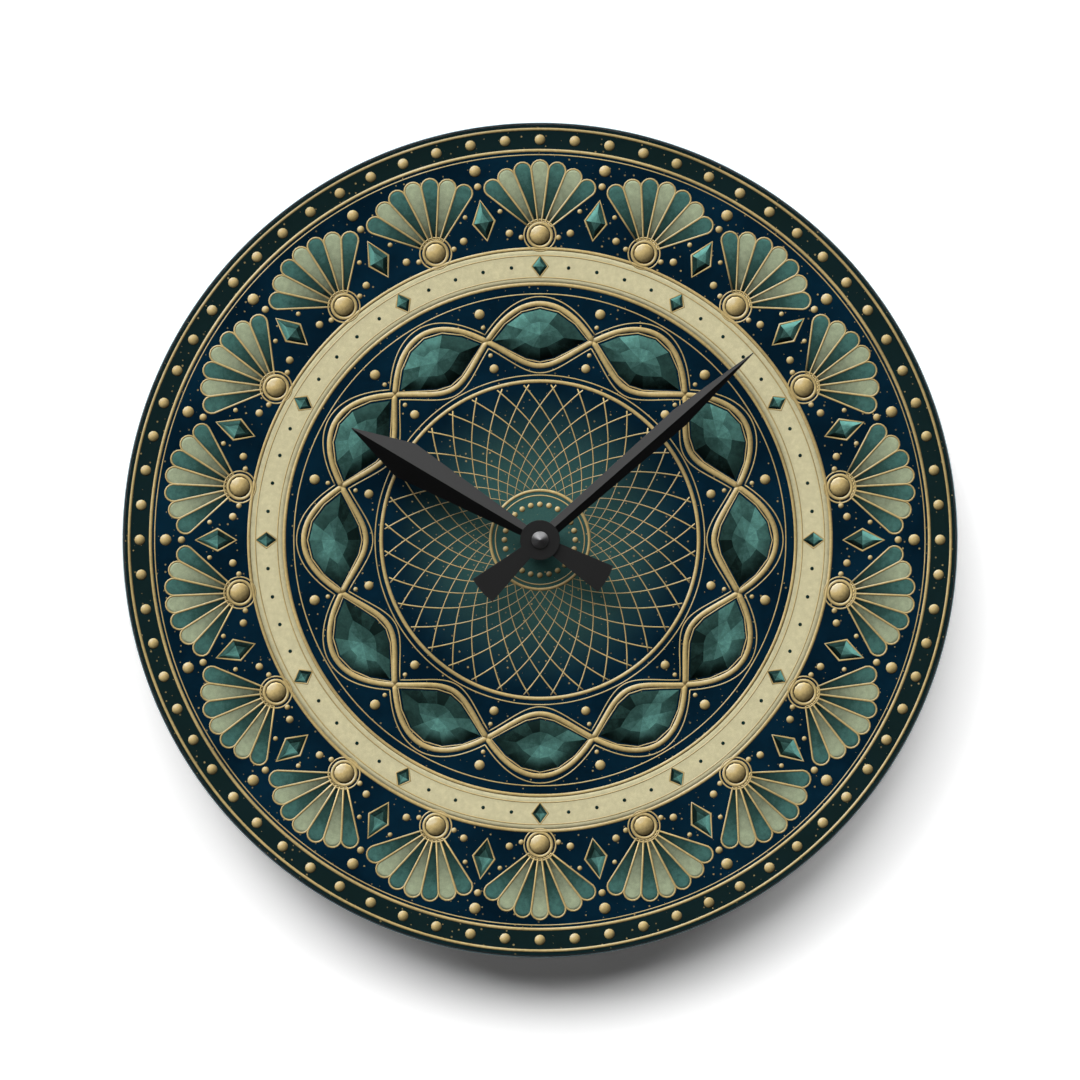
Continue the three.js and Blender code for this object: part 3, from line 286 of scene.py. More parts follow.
def stamped_metal(name, colour, roughness, grain_scale):
    """Rolled sheet metal with a drawn grain and a few handling marks."""
    material, tree = new_material(name)
    place = tree.place()
    grain = tree.noise(tree.stretched(place, grain_scale), DRAWN_GRAIN, 3)
    stains = tree.noise(place, SHEET_STAINS, 3)
    shade = tree.step(grain * 0.5 + stains * 0.5, 0.3, 0.7)
    tree.surface(tree.principled({
        "Base Color": tree.mix(shade, rgba(toned(colour, 0.85)), rgba(toned(colour, 1.08))),
        "Metallic": 1.0,
        "Roughness": roughness - 0.08 + grain * 0.16,
        "Normal": tree.bump(grain, 0.25, TOOL_MARK_DEPTH),
    }))
    return material


def turned_metal(name, colour, roughness, pitch):
    """Lathe-turned metal: fine tool rings round the hands' axis."""
    material, tree = new_material(name)
    place = tree.place()
    axes = tree.parts(place)
    rings = tree.node("ShaderNodeTexNoise", {"noise_dimensions": "1D"}, {
        "W": tree.off_axis(axes) + axes[1] * 0.7,
        "Scale": 1 / pitch,
        "Detail": 2.0,
    })["Fac"]
    stains = tree.noise(place, TURNED_STAINS, 3)
    shade = tree.step(rings * 0.4 + stains * 0.6, 0.3, 0.7)
    tree.surface(tree.principled({
        "Base Color": tree.mix(shade, rgba(toned(colour, 0.82)), rgba(toned(colour, 1.1))),
        "Metallic": 1.0,
        "Roughness": roughness - 0.05 + rings * 0.1,
        "Normal": tree.bump(rings, 0.3, TOOL_MARK_DEPTH),
    }))
    return material


def satin_black(name, colour, shine, roughness):
    """Powder-coated sheet metal: nearly black, duller on its level parts than where the fold pressed it."""
    material, tree = new_material(name)
    place = tree.place()
    peel = tree.noise(place, COATING_PEEL, 2)
    rubbed = tree.noise(place, COATING_RUB, 3)
    ahead = tree.parts(tree.node("ShaderNodeNewGeometry")["True Normal"])
    level = tree.step(0 - ahead[1], 0.98, 0.998)
    tree.surface(tree.principled({
        "Base Color": tree.mix(rubbed, rgba(toned(colour, 0.7)), rgba(toned(colour, 1.3))),
        "Roughness": roughness - 0.03 + peel * 0.03 + rubbed * 0.03 + level * 0.09,
        "Specular IOR Level": shine,
        "Normal": tree.bump(peel, 0.12, 0.01 * MM),
    }))
    return material


def enamel_ink(name, stops):
    """Printed enamel: its tone runs with each cell, broken up by a painter's mottle."""
    material, tree = new_material(name)
    place = tree.place()
    mottle = tree.noise(place, ENAMEL_MOTTLE, 4, 0.6)
    streaks = tree.noise(place, ENAMEL_STREAKS, 2)
    # The tone holds the print's gradients and, on cut stones and the chapter band, painted light and shade
    tone = tree.attribute("tone", "Fac")
    colour = tree.ramp(tone + (mottle - 0.5) * 0.42 + (streaks - 0.5) * 0.14, stops)
    tree.surface(tree.principled({
        "Base Color": colour,
        "Roughness": 0.42 + mottle * 0.12,
        "Specular IOR Level": 0.0,
    }))
    return material


def gold_ink(name, stops, light):
    """Printed gold with painted shading: each raised line runs from a painted dark edge to a painted
    highlight on its ridge, lit from one fixed direction.
    """
    material, tree = new_material(name)
    place = tree.place()
    relief = tree.attribute("relief", "Vector")
    lit = tree.toward(relief, light)
    mottle = tree.noise(place, GOLD_MOTTLE, 3, 0.6)
    sweep = tree.noise(place, GOLD_SWEEP, 2)
    # Painted light: the tone follows the painted light normal against the fixed light direction
    tone = lit * 0.62 + 0.3 + (mottle - 0.5) * 0.24 + (sweep - 0.5) * 0.3
    tree.surface(tree.principled({
        "Base Color": tree.ramp(tone, stops),
        "Roughness": 0.4 + mottle * 0.12,
        "Specular IOR Level": 0.0,
    }))
    return material


# Zones of the film, from the hands' axis
GLOW_START, GLOW_END = 14 * MM, 52 * MM
RIM_BAND_START, RIM_BAND_END = 126.5 * MM, 127.5 * MM
BACKING_DARK, BACKING_PALE = (0.74, 0.73, 0.71), (0.86, 0.85, 0.83)


def dial_ground(name, dial, rear):
    """The film: navy ink on the front with teal depths and gold dust, white backing on the rear."""
    material, tree = new_material(name)
    place = tree.place()
    axes = tree.parts(place)
    radius = tree.off_axis(axes)
    cloud = tree.step(tree.noise(place, GROUND_CLOUDS, 4, 0.6), 0.3, 0.75)
    grain = tree.noise(place, FILM_GRAIN, 2)
    ink = tree.mix(cloud, rgba(toned(dial.navy, 0.75)), rgba(toned(dial.navy, 1.45)))
    glow = (1 - tree.step(radius, GLOW_START, GLOW_END)) * (0.55 + grain * 0.3)
    ink = tree.mix(glow, ink, rgba(toned(dial.teal, 1.3)))
    rim = tree.step(radius, RIM_BAND_START, RIM_BAND_END)
    ink = tree.mix(rim * 0.8, ink, rgba(toned(dial.teal, 0.18)))
    cells = tree.node("ShaderNodeTexVoronoi", {"voronoi_dimensions": "2D"}, {
        "Vector": tree.joined(axes[0], axes[2], 0),
        "Scale": 1 / GOLD_DUST,
    })
    chance = tree.parts(cells["Color"])
    speck = (cells["Distance"] < chance[1] * 0.11 + 0.015) * (chance[0] > 0.62)
    ink = tree.mix(speck * (0.25 + chance[2] * 0.6), ink, rgba(dial.gold))
    backing = tree.mix(grain, rgba(BACKING_DARK), rgba(BACKING_PALE))
    behind = axes[1] > rear
    tree.surface(tree.principled({
        "Base Color": tree.mix(behind, ink, backing),
        "Roughness": 0.5 + grain * 0.12,
        "Specular IOR Level": 0.0,
    }))
    return material


# Polished edge of the disc: depths from its front face, and where its front corner gets a painted highlight
HEART_RISE, HEART_FALL = (0.3 * MM, 1.0 * MM), (1.9 * MM, 2.6 * MM)
PAINTED_HIGHLIGHT_DEPTH = (0.3 * MM, 0.7 * MM)
PAINTED_HIGHLIGHT_INSET = (0.1 * MM, 0.2 * MM)
RIM_BLEND = 0.1 * MM
FACE_TINT = (0.99, 1.0, 0.995)


def clear_acrylic(name, edge_colour, edge_start, front):
    """Polished cast acrylic: clear through its faces, glossy at a slant. Its rim is tinted, partly with its
    own tint and partly with painted light seen through the edge, with a painted highlight along the front
    corner and painted shade on the other rounded edges and inside.
    """
    material, tree = new_material(name)
    place = tree.place()
    axes = tree.parts(place)
    radius = tree.off_axis(axes)
    ripple = tree.noise(place, ACRYLIC_RIPPLE, 1)
    marks = tree.noise(tree.stretched(place, (1, 6, 1)), POLISH_MARKS, 3)
    rim = tree.step(radius, edge_start - RIM_BLEND, edge_start)
    depth = axes[1] - front
    heart = tree.step(depth, *HEART_RISE) * (1 - tree.step(depth, *HEART_FALL))
    # Painted highlight along the outer front corner of the rounded edge
    corner = tree.step(radius - edge_start, *PAINTED_HIGHLIGHT_INSET) * (1 - tree.step(depth, *PAINTED_HIGHLIGHT_DEPTH))
    outside = 1 - tree.node("ShaderNodeNewGeometry")["Backfacing"]
    # Painted shade on the rounded edges, painted highlight on the front corner
    painted_rim_shade_and_highlight = tree.mix(corner, rgba(toned(edge_colour, 0.06)), rgba(toned(edge_colour, 1.5)))
    # Side of the rim: its tint, partly the acrylic's own and partly painted light seen through the edge
    tint = tree.mix(heart * (0.6 + marks * 0.4), painted_rim_shade_and_highlight, rgba(edge_colour))
    glint = tree.node("ShaderNodeFresnel", None, {"IOR": ACRYLIC_IOR})[0]
    # Base colour: painted shade on the rim's inner side; outside, the tint and the painted edge light
    body = tree.principled({
        "Base Color": tree.mix(outside, rgba(toned(edge_colour, 0.04)), tint),
        "Roughness": 0.3 + marks * 0.1,
        "Specular IOR Level": 0.0,
        "Coat Weight": heart,
        "Coat Roughness": 0.06,
        "Coat IOR": ACRYLIC_IOR,
    })
    gloss = tree.node("ShaderNodeBsdfGlossy", None, {
        "Color": rgba(WHITE),
        "Roughness": 0.02 + ripple * 0.02,
    })[0]
    clear = tree.node("ShaderNodeBsdfTransparent", None, {"Color": rgba(FACE_TINT)})[0]
    face = tree.blend(glint * outside, clear, gloss)
    tree.surface(tree.blend(rim * 0.97, face, body))
    return material


# Meshes: steps round a turned piece, and the distance under which points are one

DISC_STEPS = 288
SMALL_STEPS = 64
TOUCHING = 1e-6


def show(name, mesh, material, body, slot):
    """Links a finished mesh as a piece that rides on a body."""
    piece = bpy.data.objects.new(name, mesh)
    bpy.context.scene.collection.objects.link(piece)
    mesh.materials.clear()
    mesh.materials.append(material)
    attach(piece, body)
    return piece


def smoothed(mesh, degrees):
    mesh.shade_smooth()
    mesh.set_sharp_from_angle(angle=math.radians(degrees))
    return mesh


def bore_of(node):
    """Radius of the hole in a node on the hands' axis, in millimetres."""
    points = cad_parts[node].data.vertices
    return min(math.hypot(point.co.x, point.co.z) for point in points) / MM


def turned_mesh(name, profile, segments, placed=Matrix(), closed=True):
    """A profile of radius and depth, both in millimetres, turned about the hands' axis and then placed."""
    shape = bmesh.new()
    rows = []
    for radius, depth in profile:
        if radius == 0:
            point = shape.verts.new((0, -depth * MM, 0))
            rows.append([point] * segments)
            continue
        row = []
        for step in range(segments):
            angle = FULL_TURN * step / segments
            row.append(shape.verts.new((
                radius * math.sin(angle) * MM,
                -depth * MM,
                radius * math.cos(angle) * MM,
            )))
        rows.append(row)
    pairs = list(zip(rows, rows[1:] + rows[:1] if closed else rows[1:]))
    for low, high in pairs:
        for step in range(segments):
            after = (step + 1) % segments
            corners = [low[step], low[after], high[after], high[step]]
            distinct = list(dict.fromkeys(corners))
            if len(distinct) > 2:
                shape.faces.new(distinct)
    bmesh.ops.recalc_face_normals(shape, faces=shape.faces)
    shape.transform(placed)
    mesh = bpy.data.meshes.new(name)
    shape.to_mesh(mesh)
    shape.free()
    return mesh


def node_copy(node, name):
    """A merged copy of a node's mesh, with its flat areas as single faces."""
    shape = bmesh.new()
    shape.from_mesh(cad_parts[node].data)
    bmesh.ops.remove_doubles(shape, verts=shape.verts, dist=TOUCHING)
    bmesh.ops.dissolve_limit(
        shape,
        angle_limit=math.radians(0.4),
        verts=shape.verts,
        edges=shape.edges,
    )
    mesh = bpy.data.meshes.new(name)
    shape.to_mesh(mesh)
    shape.free()
    return mesh


def applied(piece):
    """The mesh of an object with its modifiers applied."""
    graph = bpy.context.evaluated_depsgraph_get()
    return bpy.data.meshes.new_from_object(piece.evaluated_get(graph))


def bevelled_copy(node, name, width, degrees, crease):
    """A copy of a node with the edges sharper than an angle rounded off."""
    mesh = node_copy(node, name)
    helper = bpy.data.objects.new(name, mesh)
    bpy.context.scene.collection.objects.link(helper)
    bevel = helper.modifiers.new("edges", "BEVEL")
    bevel.width = width
    bevel.segments = 2
    bevel.limit_method = "ANGLE"
    bevel.angle_limit = math.radians(degrees)
    bevel.miter_outer = "MITER_ARC"
    finished = applied(helper)
    bpy.data.objects.remove(helper)
    shape = bmesh.new()
    shape.from_mesh(finished)
    bmesh.ops.dissolve_degenerate(shape, edges=shape.edges, dist=TOUCHING)
    shape.to_mesh(finished)
    shape.free()
    return smoothed(finished, crease)


# Signs in the cover in millimetres: an arrow round the knob, and the ends of the battery
ARROW_RADIUS, ARROW_HALF, ARROW_SWEEP, ARROW_HEAD, ARROW_TIP = 7.2, 0.3, 0.75, 1.0, 0.34
ARROW_STEPS = 16
MARK_ASIDE, MARK_LEVEL, MARK_ARM, MARK_HALF = 21.5, -7.6, 1.6, 0.33


def cover_signs():
    """Outlines on the rear cover: an arrow both ways over the knob, plus and minus over the battery."""
    low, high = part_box("setting_knob")
    knob = (low + high) / 2 / MM
    radius, half, head, sweep = ARROW_RADIUS, ARROW_HALF, ARROW_HEAD, ARROW_SWEEP
    end = sweep + ARROW_TIP

    def at(reach, angle):
        return knob.x + reach * math.sin(angle), knob.z + reach * math.cos(angle)

    turns = [sweep * (2 * step / ARROW_STEPS - 1) for step in range(ARROW_STEPS + 1)]
    arrow = [at(radius + half, turn) for turn in turns]
    arrow += [at(radius + head, sweep), at(radius, end), at(radius - head, sweep)]
    arrow += [at(radius - half, turn) for turn in reversed(turns)]
    arrow += [at(radius - head, -sweep), at(radius, -end), at(radius + head, -sweep)]
    arm, bar = MARK_ARM, MARK_HALF
    cross = [(arm, bar), (bar, bar), (bar, arm), (-bar, arm), (-bar, bar), (-arm, bar)]
    cross += [(-x, -y) for x, y in cross]
    dash = ((arm, bar), (-arm, bar), (-arm, -bar), (arm, -bar))
    plus = [(MARK_ASIDE + x, MARK_LEVEL + y) for x, y in cross]
    minus = [(x - MARK_ASIDE, y + MARK_LEVEL) for x, y in dash]
    return arrow, plus, minus


def engraved(mesh, outlines, depth):
    """Cuts outlines into the face of a mesh that lies in the plane of the wall."""
    shape = bmesh.new()
    for outline in outlines:
        floor = [shape.verts.new((x * MM, -depth, y * MM)) for x, y in outline]
        roof = [shape.verts.new((x * MM, depth, y * MM)) for x, y in outline]
        shape.faces.new(floor)
        shape.faces.new(roof[::-1])
        for step in range(len(outline)):
            after = (step + 1) % len(outline)
            shape.faces.new((floor[step], roof[step], roof[after], floor[after]))
    bmesh.ops.recalc_face_normals(shape, faces=shape.faces)
    cutter_mesh = bpy.data.meshes.new("signs")
    shape.to_mesh(cutter_mesh)
    shape.free()
    cutter = bpy.data.objects.new("signs", cutter_mesh)
    helper = bpy.data.objects.new(mesh.name, mesh)
    for piece in (cutter, helper):
        bpy.context.scene.collection.objects.link(piece)
    cut = helper.modifiers.new("signs", "BOOLEAN")
    cut.operation = "DIFFERENCE"
    cut.solver = "EXACT"
    cut.object = cutter
    finished = applied(helper)
    for piece in (cutter, helper):
        bpy.data.objects.remove(piece)
    return finished


# Printed shapes, drawn face-on in millimetres: x to the right, y up, depth from the wall

FILM_FRONT = -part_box("print_film")[0].y / MM
CELL_TOP = FILM_FRONT + 0.010
INSET_TOP = FILM_FRONT + 0.018
WIRE_FOOT = FILM_FRONT + 0.022
WIRE_RISE = 0.014
PEARL_RISE = 0.03
INK_FOOT = FILM_FRONT + 0.002
AHEAD = (0, -1, 0)
WIRE_SAMPLES = (-1, -0.75, -0.4, 0, 0.4, 0.75, 1)
PEARL_RINGS = (1, 0.82, 0.5)
CELL_RINGS = (1, 0.86, 0.6, 0.3)


class Ink:
    """Collects thin printed shapes, with the normals for the painted shading of their corners and the tone
    of their corners.
    """

    def __init__(self):
        self.points = []
        self.relief = []
        self.faces = []
        self.tones = []

    def point(self, x, y, depth, relief):
        self.points.append((x * MM, -depth * MM, y * MM))
        self.relief.append(relief)
        return len(self.points) - 1

    def face(self, corners, tones=None):
        self.faces.append(corners)
        self.tones.extend(tones or [0.5] * len(corners))

    def wire(self, path, half_widths, closed=False, foot=WIRE_FOOT, rise=WIRE_RISE, flat=0.0):
        """A raised line along a path. Its ridge catches the painted light; flat is the share left level."""
        count = len(path)
        rows = []
        for index, (x, y) in enumerate(path):
            before = path[index - 1] if closed or index > 0 else path[0]
            after = path[(index + 1) % count] if closed or index < count - 1 else path[-1]
            run = Vector((after[0] - before[0], after[1] - before[1])).normalized()
            side = Vector((-run.y, run.x))
            half = half_widths[index] if isinstance(half_widths, (list, tuple)) else half_widths
            row = []
            for sample in WIRE_SAMPLES:
                lean = max(0.0, (abs(sample) - flat) / (1 - flat)) * 0.92
                lean = math.copysign(lean, sample)
                out = math.sqrt(1 - lean * lean)
                row.append(self.point(
                    x + side.x * half * sample,
                    y + side.y * half * sample,
                    foot + rise * out,
                    (side.x * lean, -out, side.y * lean),
                ))
            for sample in (1, -1):
                row.append(self.point(
                    x + side.x * half * sample,
                    y + side.y * half * sample,
                    INK_FOOT,
                    (side.x * sample, 0, side.y * sample),
                ))
            rows.append(row)
        width = len(rows[0])
        # Tone for enamel laid along a wire: painted shade darkening towards both edges, darkest down its
        # sides
        tones = [0.72 - 0.4 * sample ** 4 for sample in WIRE_SAMPLES] + [0.2, 0.2]
        for low, high in zip(rows, rows[1:] + rows[:1] if closed else rows[1:]):
            for step in range(width):
                after = (step + 1) % width
                corners = [low[step], low[after], high[after], high[step]]
                self.face(corners, [tones[step], tones[after], tones[after], tones[step]])
        if not closed:
            self.face(rows[0][::-1])
            self.face(rows[-1])

    def pearl(self, x, y, radius, rise=PEARL_RISE, segments=12):
        """A domed bead, with normals that give it painted shading and a painted highlight."""
        rings = []
        for share in PEARL_RINGS:
            out = math.sqrt(1 - share * share * 0.9)
            ring = []
            for step in range(segments):
                angle = FULL_TURN * step / segments
                across, up = math.sin(angle) * share, math.cos(angle) * share
                relief = (across * 0.95, -out, up * 0.95)
                depth = WIRE_FOOT + rise * out
                ring.append(self.point(x + radius * across, y + radius * up, depth, relief))
            rings.append(ring)
        foot = []
        for point in rings[0]:
            across, _, up = self.points[point]
            foot.append(self.point(across / MM, up / MM, INK_FOOT, self.relief[point]))
        top = self.point(x, y, WIRE_FOOT + rise, AHEAD)
        for low, high in zip([foot] + rings, rings):
            for step in range(segments):
                after = (step + 1) % segments
                self.face([low[step], low[after], high[after], high[step]])
        for step in range(segments):
            self.face([rings[-1][step], rings[-1][(step + 1) % segments], top])
        self.face(foot[::-1])

    def cell(self, outline, centre, tone, top=CELL_TOP, shares=CELL_RINGS):
        """A flat enamel cell. Tone is a function of the place and of the share of the way to the edge."""
        count = len(outline)
        rings = []
        for share in shares:
            rings.append([self.point(
                centre[0] + (x - centre[0]) * share,
                centre[1] + (y - centre[1]) * share,
                top,
                AHEAD,
            ) for x, y in outline])
        middle = self.point(*centre, top, AHEAD)
        foot = [self.point(x, y, INK_FOOT, AHEAD) for x, y in outline]

        def tone_of(point, share):
            return tone(self.points[point][0] / MM, self.points[point][2] / MM, share)

        for index, (low, high) in enumerate(zip(rings, rings[1:])):
            for step in range(count):
                after = (step + 1) % count
                tones = [
                    tone_of(low[step], shares[index]),
                    tone_of(low[after], shares[index]),
                    tone_of(high[after], shares[index + 1]),
                    tone_of(high[step], shares[index + 1]),
                ]
                self.face([low[step], low[after], high[after], high[step]], tones)
        inner = rings[-1]
        for step in range(count):
            after = (step + 1) % count
            tones = [tone_of(inner[point], shares[-1]) for point in (step, after)]
            self.face([inner[step], inner[after], middle], tones + [tone_of(middle, 0)])
            edge = tone_of(rings[0][step], 1)
            self.face([foot[step], foot[after], rings[0][after], rings[0][step]], [edge] * 4)
        self.face(foot[::-1], [tone_of(foot[0], 1)] * count)

    def gem(self, outline, centre, table_share, tone, top=INSET_TOP):
        """A cut stone: level facets between the outline and a table. Each facet gets painted light and
        shade from the way it faces, alternate facets a little lighter and darker.
        """
        count = len(outline)

        def shrunk(point, share):
            return tuple(centre[axis] + (point[axis] - centre[axis]) * share for axis in range(2))

        for step in range(count):
            here, after = outline[step], outline[(step + 1) % count]
            out = (Vector(here) + Vector(after) - 2 * Vector(centre)).normalized()
            level = tone(out) + (0.09 if step % 2 else -0.09)
            inner = [shrunk(here, table_share), shrunk(after, table_share)]
            facet = [self.point(*place, top, AHEAD) for place in (here, after, inner[1], inner[0])]
            self.face(facet, [level] * 4)
            # Painted light on the table: its triangles are lighter towards the upper left
            table = [self.point(*place, top, AHEAD) for place in (inner[0], inner[1], centre)]
            self.face(table, [0.62 + 0.2 * out.y - 0.1 * out.x] * 3)
            foot = [self.point(*place, INK_FOOT, AHEAD) for place in (here, after)]
            self.face([foot[0], foot[1], facet[1], facet[0]], [level] * 4)
        self.face([self.point(*place, INK_FOOT, AHEAD) for place in outline[::-1]], [0.3] * count)

    def mesh(self, name):
        mesh = bpy.data.meshes.new(name)
        mesh.from_pydata(self.points, [], self.faces)
        relief = mesh.attributes.new("relief", "FLOAT_VECTOR", "POINT")
        relief.data.foreach_set("vector", [part for vector in self.relief for part in vector])
        tone = mesh.attributes.new("tone", "FLOAT", "CORNER")
        tone.data.foreach_set("value", self.tones)
        mesh.shade_smooth()
        return mesh


def polar(radius, degrees):
    """A place on the dial: degrees run clockwise from twelve."""
    angle = math.radians(degrees)
    return radius * math.sin(angle), radius * math.cos(angle)


def ring_path(radius, points):
    return [polar(radius, 360 * step / points) for step in range(points)]


def ring_group():
    """Copies of a motif round the hands' axis. The painted light normals turn with each copy, so the
    painted shading stays lit from one direction.
    """
    group = bpy.data.node_groups.new("Ring of motifs", "GeometryNodeTree")
    tree = Tree(group)
    for name, kind in (
        ("Geometry", "NodeSocketGeometry"),
        ("Motif", "NodeSocketObject"),
        ("Count", "NodeSocketInt"),
        ("Start", "NodeSocketFloat"),
        ("Ink", "NodeSocketMaterial"),
    ):
        group.interface.new_socket(name, in_out="INPUT", socket_type=kind)
    group.interface.new_socket("Geometry", in_out="OUTPUT", socket_type="NodeSocketGeometry")
    given = tree.node("NodeGroupInput")
    places = tree.node("GeometryNodeMeshLine", None, {"Count": given["Count"], "Offset": (0, 0, 0)})[0]
    index = tree.node("GeometryNodeInputIndex")[0]
    angle = index * FULL_TURN / given["Count"] + given["Start"]

    def stored(kind, geometry, name, value):
        settings = {"data_type": kind, "domain": "POINT"}
        sockets = {"Geometry": geometry, "Name": name, "Value": value}
        return tree.node("GeometryNodeStoreNamedAttribute", settings, sockets)[0]

    def named(kind, name):
        return tree.node("GeometryNodeInputNamedAttribute", {"data_type": kind}, {"Name": name})[0]

    marked = stored("FLOAT", places, "turn", angle)
    motif = tree.node("GeometryNodeObjectInfo", None, {"Object": given["Motif"]})["Geometry"]
    copies = tree.node("GeometryNodeInstanceOnPoints", None, {
        "Points": marked,
        "Instance": motif,
        "Rotation": tree.joined(0, angle, 0),
    })[0]
    real = tree.node("GeometryNodeRealizeInstances", None, {"Geometry": copies})[0]
    relief = tree.node("ShaderNodeVectorRotate", {"rotation_type": "Y_AXIS"}, {
        "Vector": named("FLOAT_VECTOR", "relief"),
        "Angle": named("FLOAT", "turn"),
    })[0]
    painted = stored("FLOAT_VECTOR", real, "relief", relief)
    sockets = {"Geometry": painted, "Material": given["Ink"]}
    inked = tree.node("GeometryNodeSetMaterial", None, sockets)[0]
    tree.node("NodeGroupOutput", None, {0: inked})
    return group


def ring_of(group, name, ink, count, start, material):
    """Prints copies of a motif round the dial as one piece."""
    motif = bpy.data.objects.new(name + "_motif", ink.mesh(name + "_motif"))
    host = bpy.data.objects.new(name + "_host", bpy.data.meshes.new(name + "_host"))
    for helper in (motif, host):
        bpy.context.scene.collection.objects.link(helper)
    modifier = host.modifiers.new("ring", "NODES")
    modifier.node_group = group
    given = {"Motif": motif, "Count": count, "Start": math.radians(start), "Ink": material}
    for item in group.interface.items_tree:
        if item.in_out == "INPUT" and item.name in given:
            modifier[item.identifier] = given[item.name]
    mesh = applied(host)
    for helper in (motif, host):
        bpy.data.objects.remove(helper)
    if not mesh.polygons:
        raise RuntimeError(f"the ring {name} came out empty")
    return show(name, mesh, material, "movement", "print")


# Settings

def colour(name, description, default):
    return FloatVectorProperty(
        name=name, description=description, subtype="COLOR", size=3, min=0, max=1, default=default)


class DialSettings(bpy.types.PropertyGroup):
    """Colours and counts of the printed dial."""

    navy: colour("Navy", "Ground of the print", (0.0016, 0.0127, 0.0255))
    gold: colour("Gold", "Lines and beads of the print", (0.40, 0.297, 0.131))
    teal: colour("Teal", "Dark enamel cells", (0.0395, 0.0985, 0.087))
    cream: colour("Cream", "Pale enamel cells", (0.305, 0.34, 0.225))
    ivory: colour("Ivory", "Enamel of the chapter ring", (0.59, 0.53, 0.335))
    fans: IntProperty(name="Fans", description="Fluted fans round the rim", default=18, min=6, max=36)
    pearls: IntProperty(name="Pearls", description="Beads along the rim", default=72, min=12, max=144)
    rays: IntProperty(
        name="Rays", description="Spiral lines each way round the middle", default=36, min=12, max=72)


class DiscSettings(bpy.types.PropertyGroup):
    """The clear acrylic disc."""

    # The rim's tint: partly the acrylic's own tint, partly painted light seen through the edge
    edge: colour("Edge", "Tint seen along the polished rim", (0.25, 0.335, 0.36))
    round: FloatProperty(
        name="Edge rounding", description="Width of the polished edge",
        unit="LENGTH", default=0.4 * MM, min=0.0)


class HandSettings(bpy.types.PropertyGroup):
    """The hands and their cap nut."""

    black: colour("Black", "Coating of the hands", (0.0012, 0.0012, 0.0013))
    shine: FloatProperty(
        name="Shine", description="Reflectance of the coating",
        subtype="FACTOR", default=0.42, min=0, max=1)
    edge: FloatProperty(
        name="Edge", description="Rounding of the sheet's edges", unit="LENGTH", default=0.12 * MM, min=0.0)
    cap: colour("Cap", "Plating of the cap nut", (0.112, 0.112, 0.114))


class MovementSettings(bpy.types.PropertyGroup):
    """The battery movement and its hanger."""

    case: colour("Case", "Moulded case and cover", (0.012, 0.012, 0.013))
    steel: colour("Steel", "Plated steel", (0.56, 0.57, 0.58))
    brass: colour("Brass", "Turned brass", (0.62, 0.42, 0.15))
    pale: colour("Pale plastic", "Wheels, bobbin and knob", (0.72, 0.70, 0.64))
    cell: colour("Battery", "Wrap of the battery", (0.045, 0.085, 0.11))


class StageSettings(bpy.types.PropertyGroup):
    """Light, wall and camera."""

    lens: FloatProperty(
        name="Lens", description="Focal length of the camera", unit="CAMERA", default=100.0, min=20)
    width: FloatProperty(
        name="Frame width", description="Width of the picture at the dial",
        unit="LENGTH", default=352.7 * MM, min=0.1)
    light: FloatProperty(
        name="Soft boxes", description="Strength of the soft boxes over the clock", default=2.65, min=0)
    fill: FloatProperty(
        name="Fill light", description="Level of the light from all round", default=0.039, min=0)


# Layout of the dial in millimetres: rings are radius and half width, beads are places and radius

# Direction of the painted light on the gold, and the colour of its painted highlight
PAINTED_LIGHT = (-0.5, -0.55, 0.67)
GOLD_PAINTED_HIGHLIGHT = (0.83, 0.73, 0.53)
RING_POINTS = 240

RIM_LINES = ((134.6, 0.45), (127.6, 0.5), (126.2, 0.18))
RIM_PEARL, RIM_PEARL_RADIUS = 131.1, 1.75

FAN_APEX = 99.8
FAN_FLUTES, FAN_SPREAD = 7, 15
FLUTE_START, FLUTE_END, FLUTE_LEAN = 4.6, 21.8, math.tan(math.radians(7.35))
FLUTE_WIRE = 0.3
FAN_RINGS = ((3.9, 0.5), (5.2, 0.25))
FAN_PEARL = 3.3

KITE_MIDDLE, KITE_HALF, KITE_UP, KITE_DOWN, KITE_WIRE = 105.6, 3.6, 7.2, 6.2, 0.36
KITE_TOP_PEARLS = ((122.6, 1.9), (117.4, 1.2))
KITE_SIDE_PEARLS = ((7.6, 100.6, 1.25), (11.2, 98.6, 0.9), (5.8, 108.2, 0.8))

CHAPTER_MIDDLE, CHAPTER_HALF, CHAPTER_FLAT = 89.6, 5.6, 0.72
CHAPTER_LINES = ((83.8, 0.55), (86.0, 0.2), (93.2, 0.2), (95.4, 0.55))
HOUR_STONE_UP, HOUR_STONE_HALF, HOUR_WIRE = 3.6, 2.7, 0.3
HOURS = 12
MINUTE_DOT = 0.62
MINUTE_DEGREES = (("a", 6), ("b", 12), ("c", 18), ("d", 24))

CHAIN_MIDDLE, CHAIN_SWING, CHAIN_LINKS = 67.2, 10.2, 12
CHAIN_WIRE, CHAIN_LINE, CHAIN_LINE_GAP = 0.85, 0.2, 2.3
CHAIN_STEPS, CHAIN_FACETS = 28, 6
CHAIN_STONE, CHAIN_SETTING = (0.86, 0.82), (0.92, 0.88)
CHAIN_PEARLS = ((76.4, 1.7), (58.0, 1.5), (71.9, 0.75), (62.5, 0.75))

LATTICE_INNER, LATTICE_OUTER, LATTICE_SWING, LATTICE_STEPS = 16.5, 51.0, 46.0, 22
MIDDLE_RINGS = ((52.0, 0.6), (54.0, 0.2), (80.6, 0.2), (16.2, 0.5), (14.6, 0.2))
MIDDLE_POINTS = 180
MIDDLE_PEARL, MIDDLE_PEARL_RADIUS, MIDDLE_PEARLS = 11.6, 0.95, 24


# Pieces

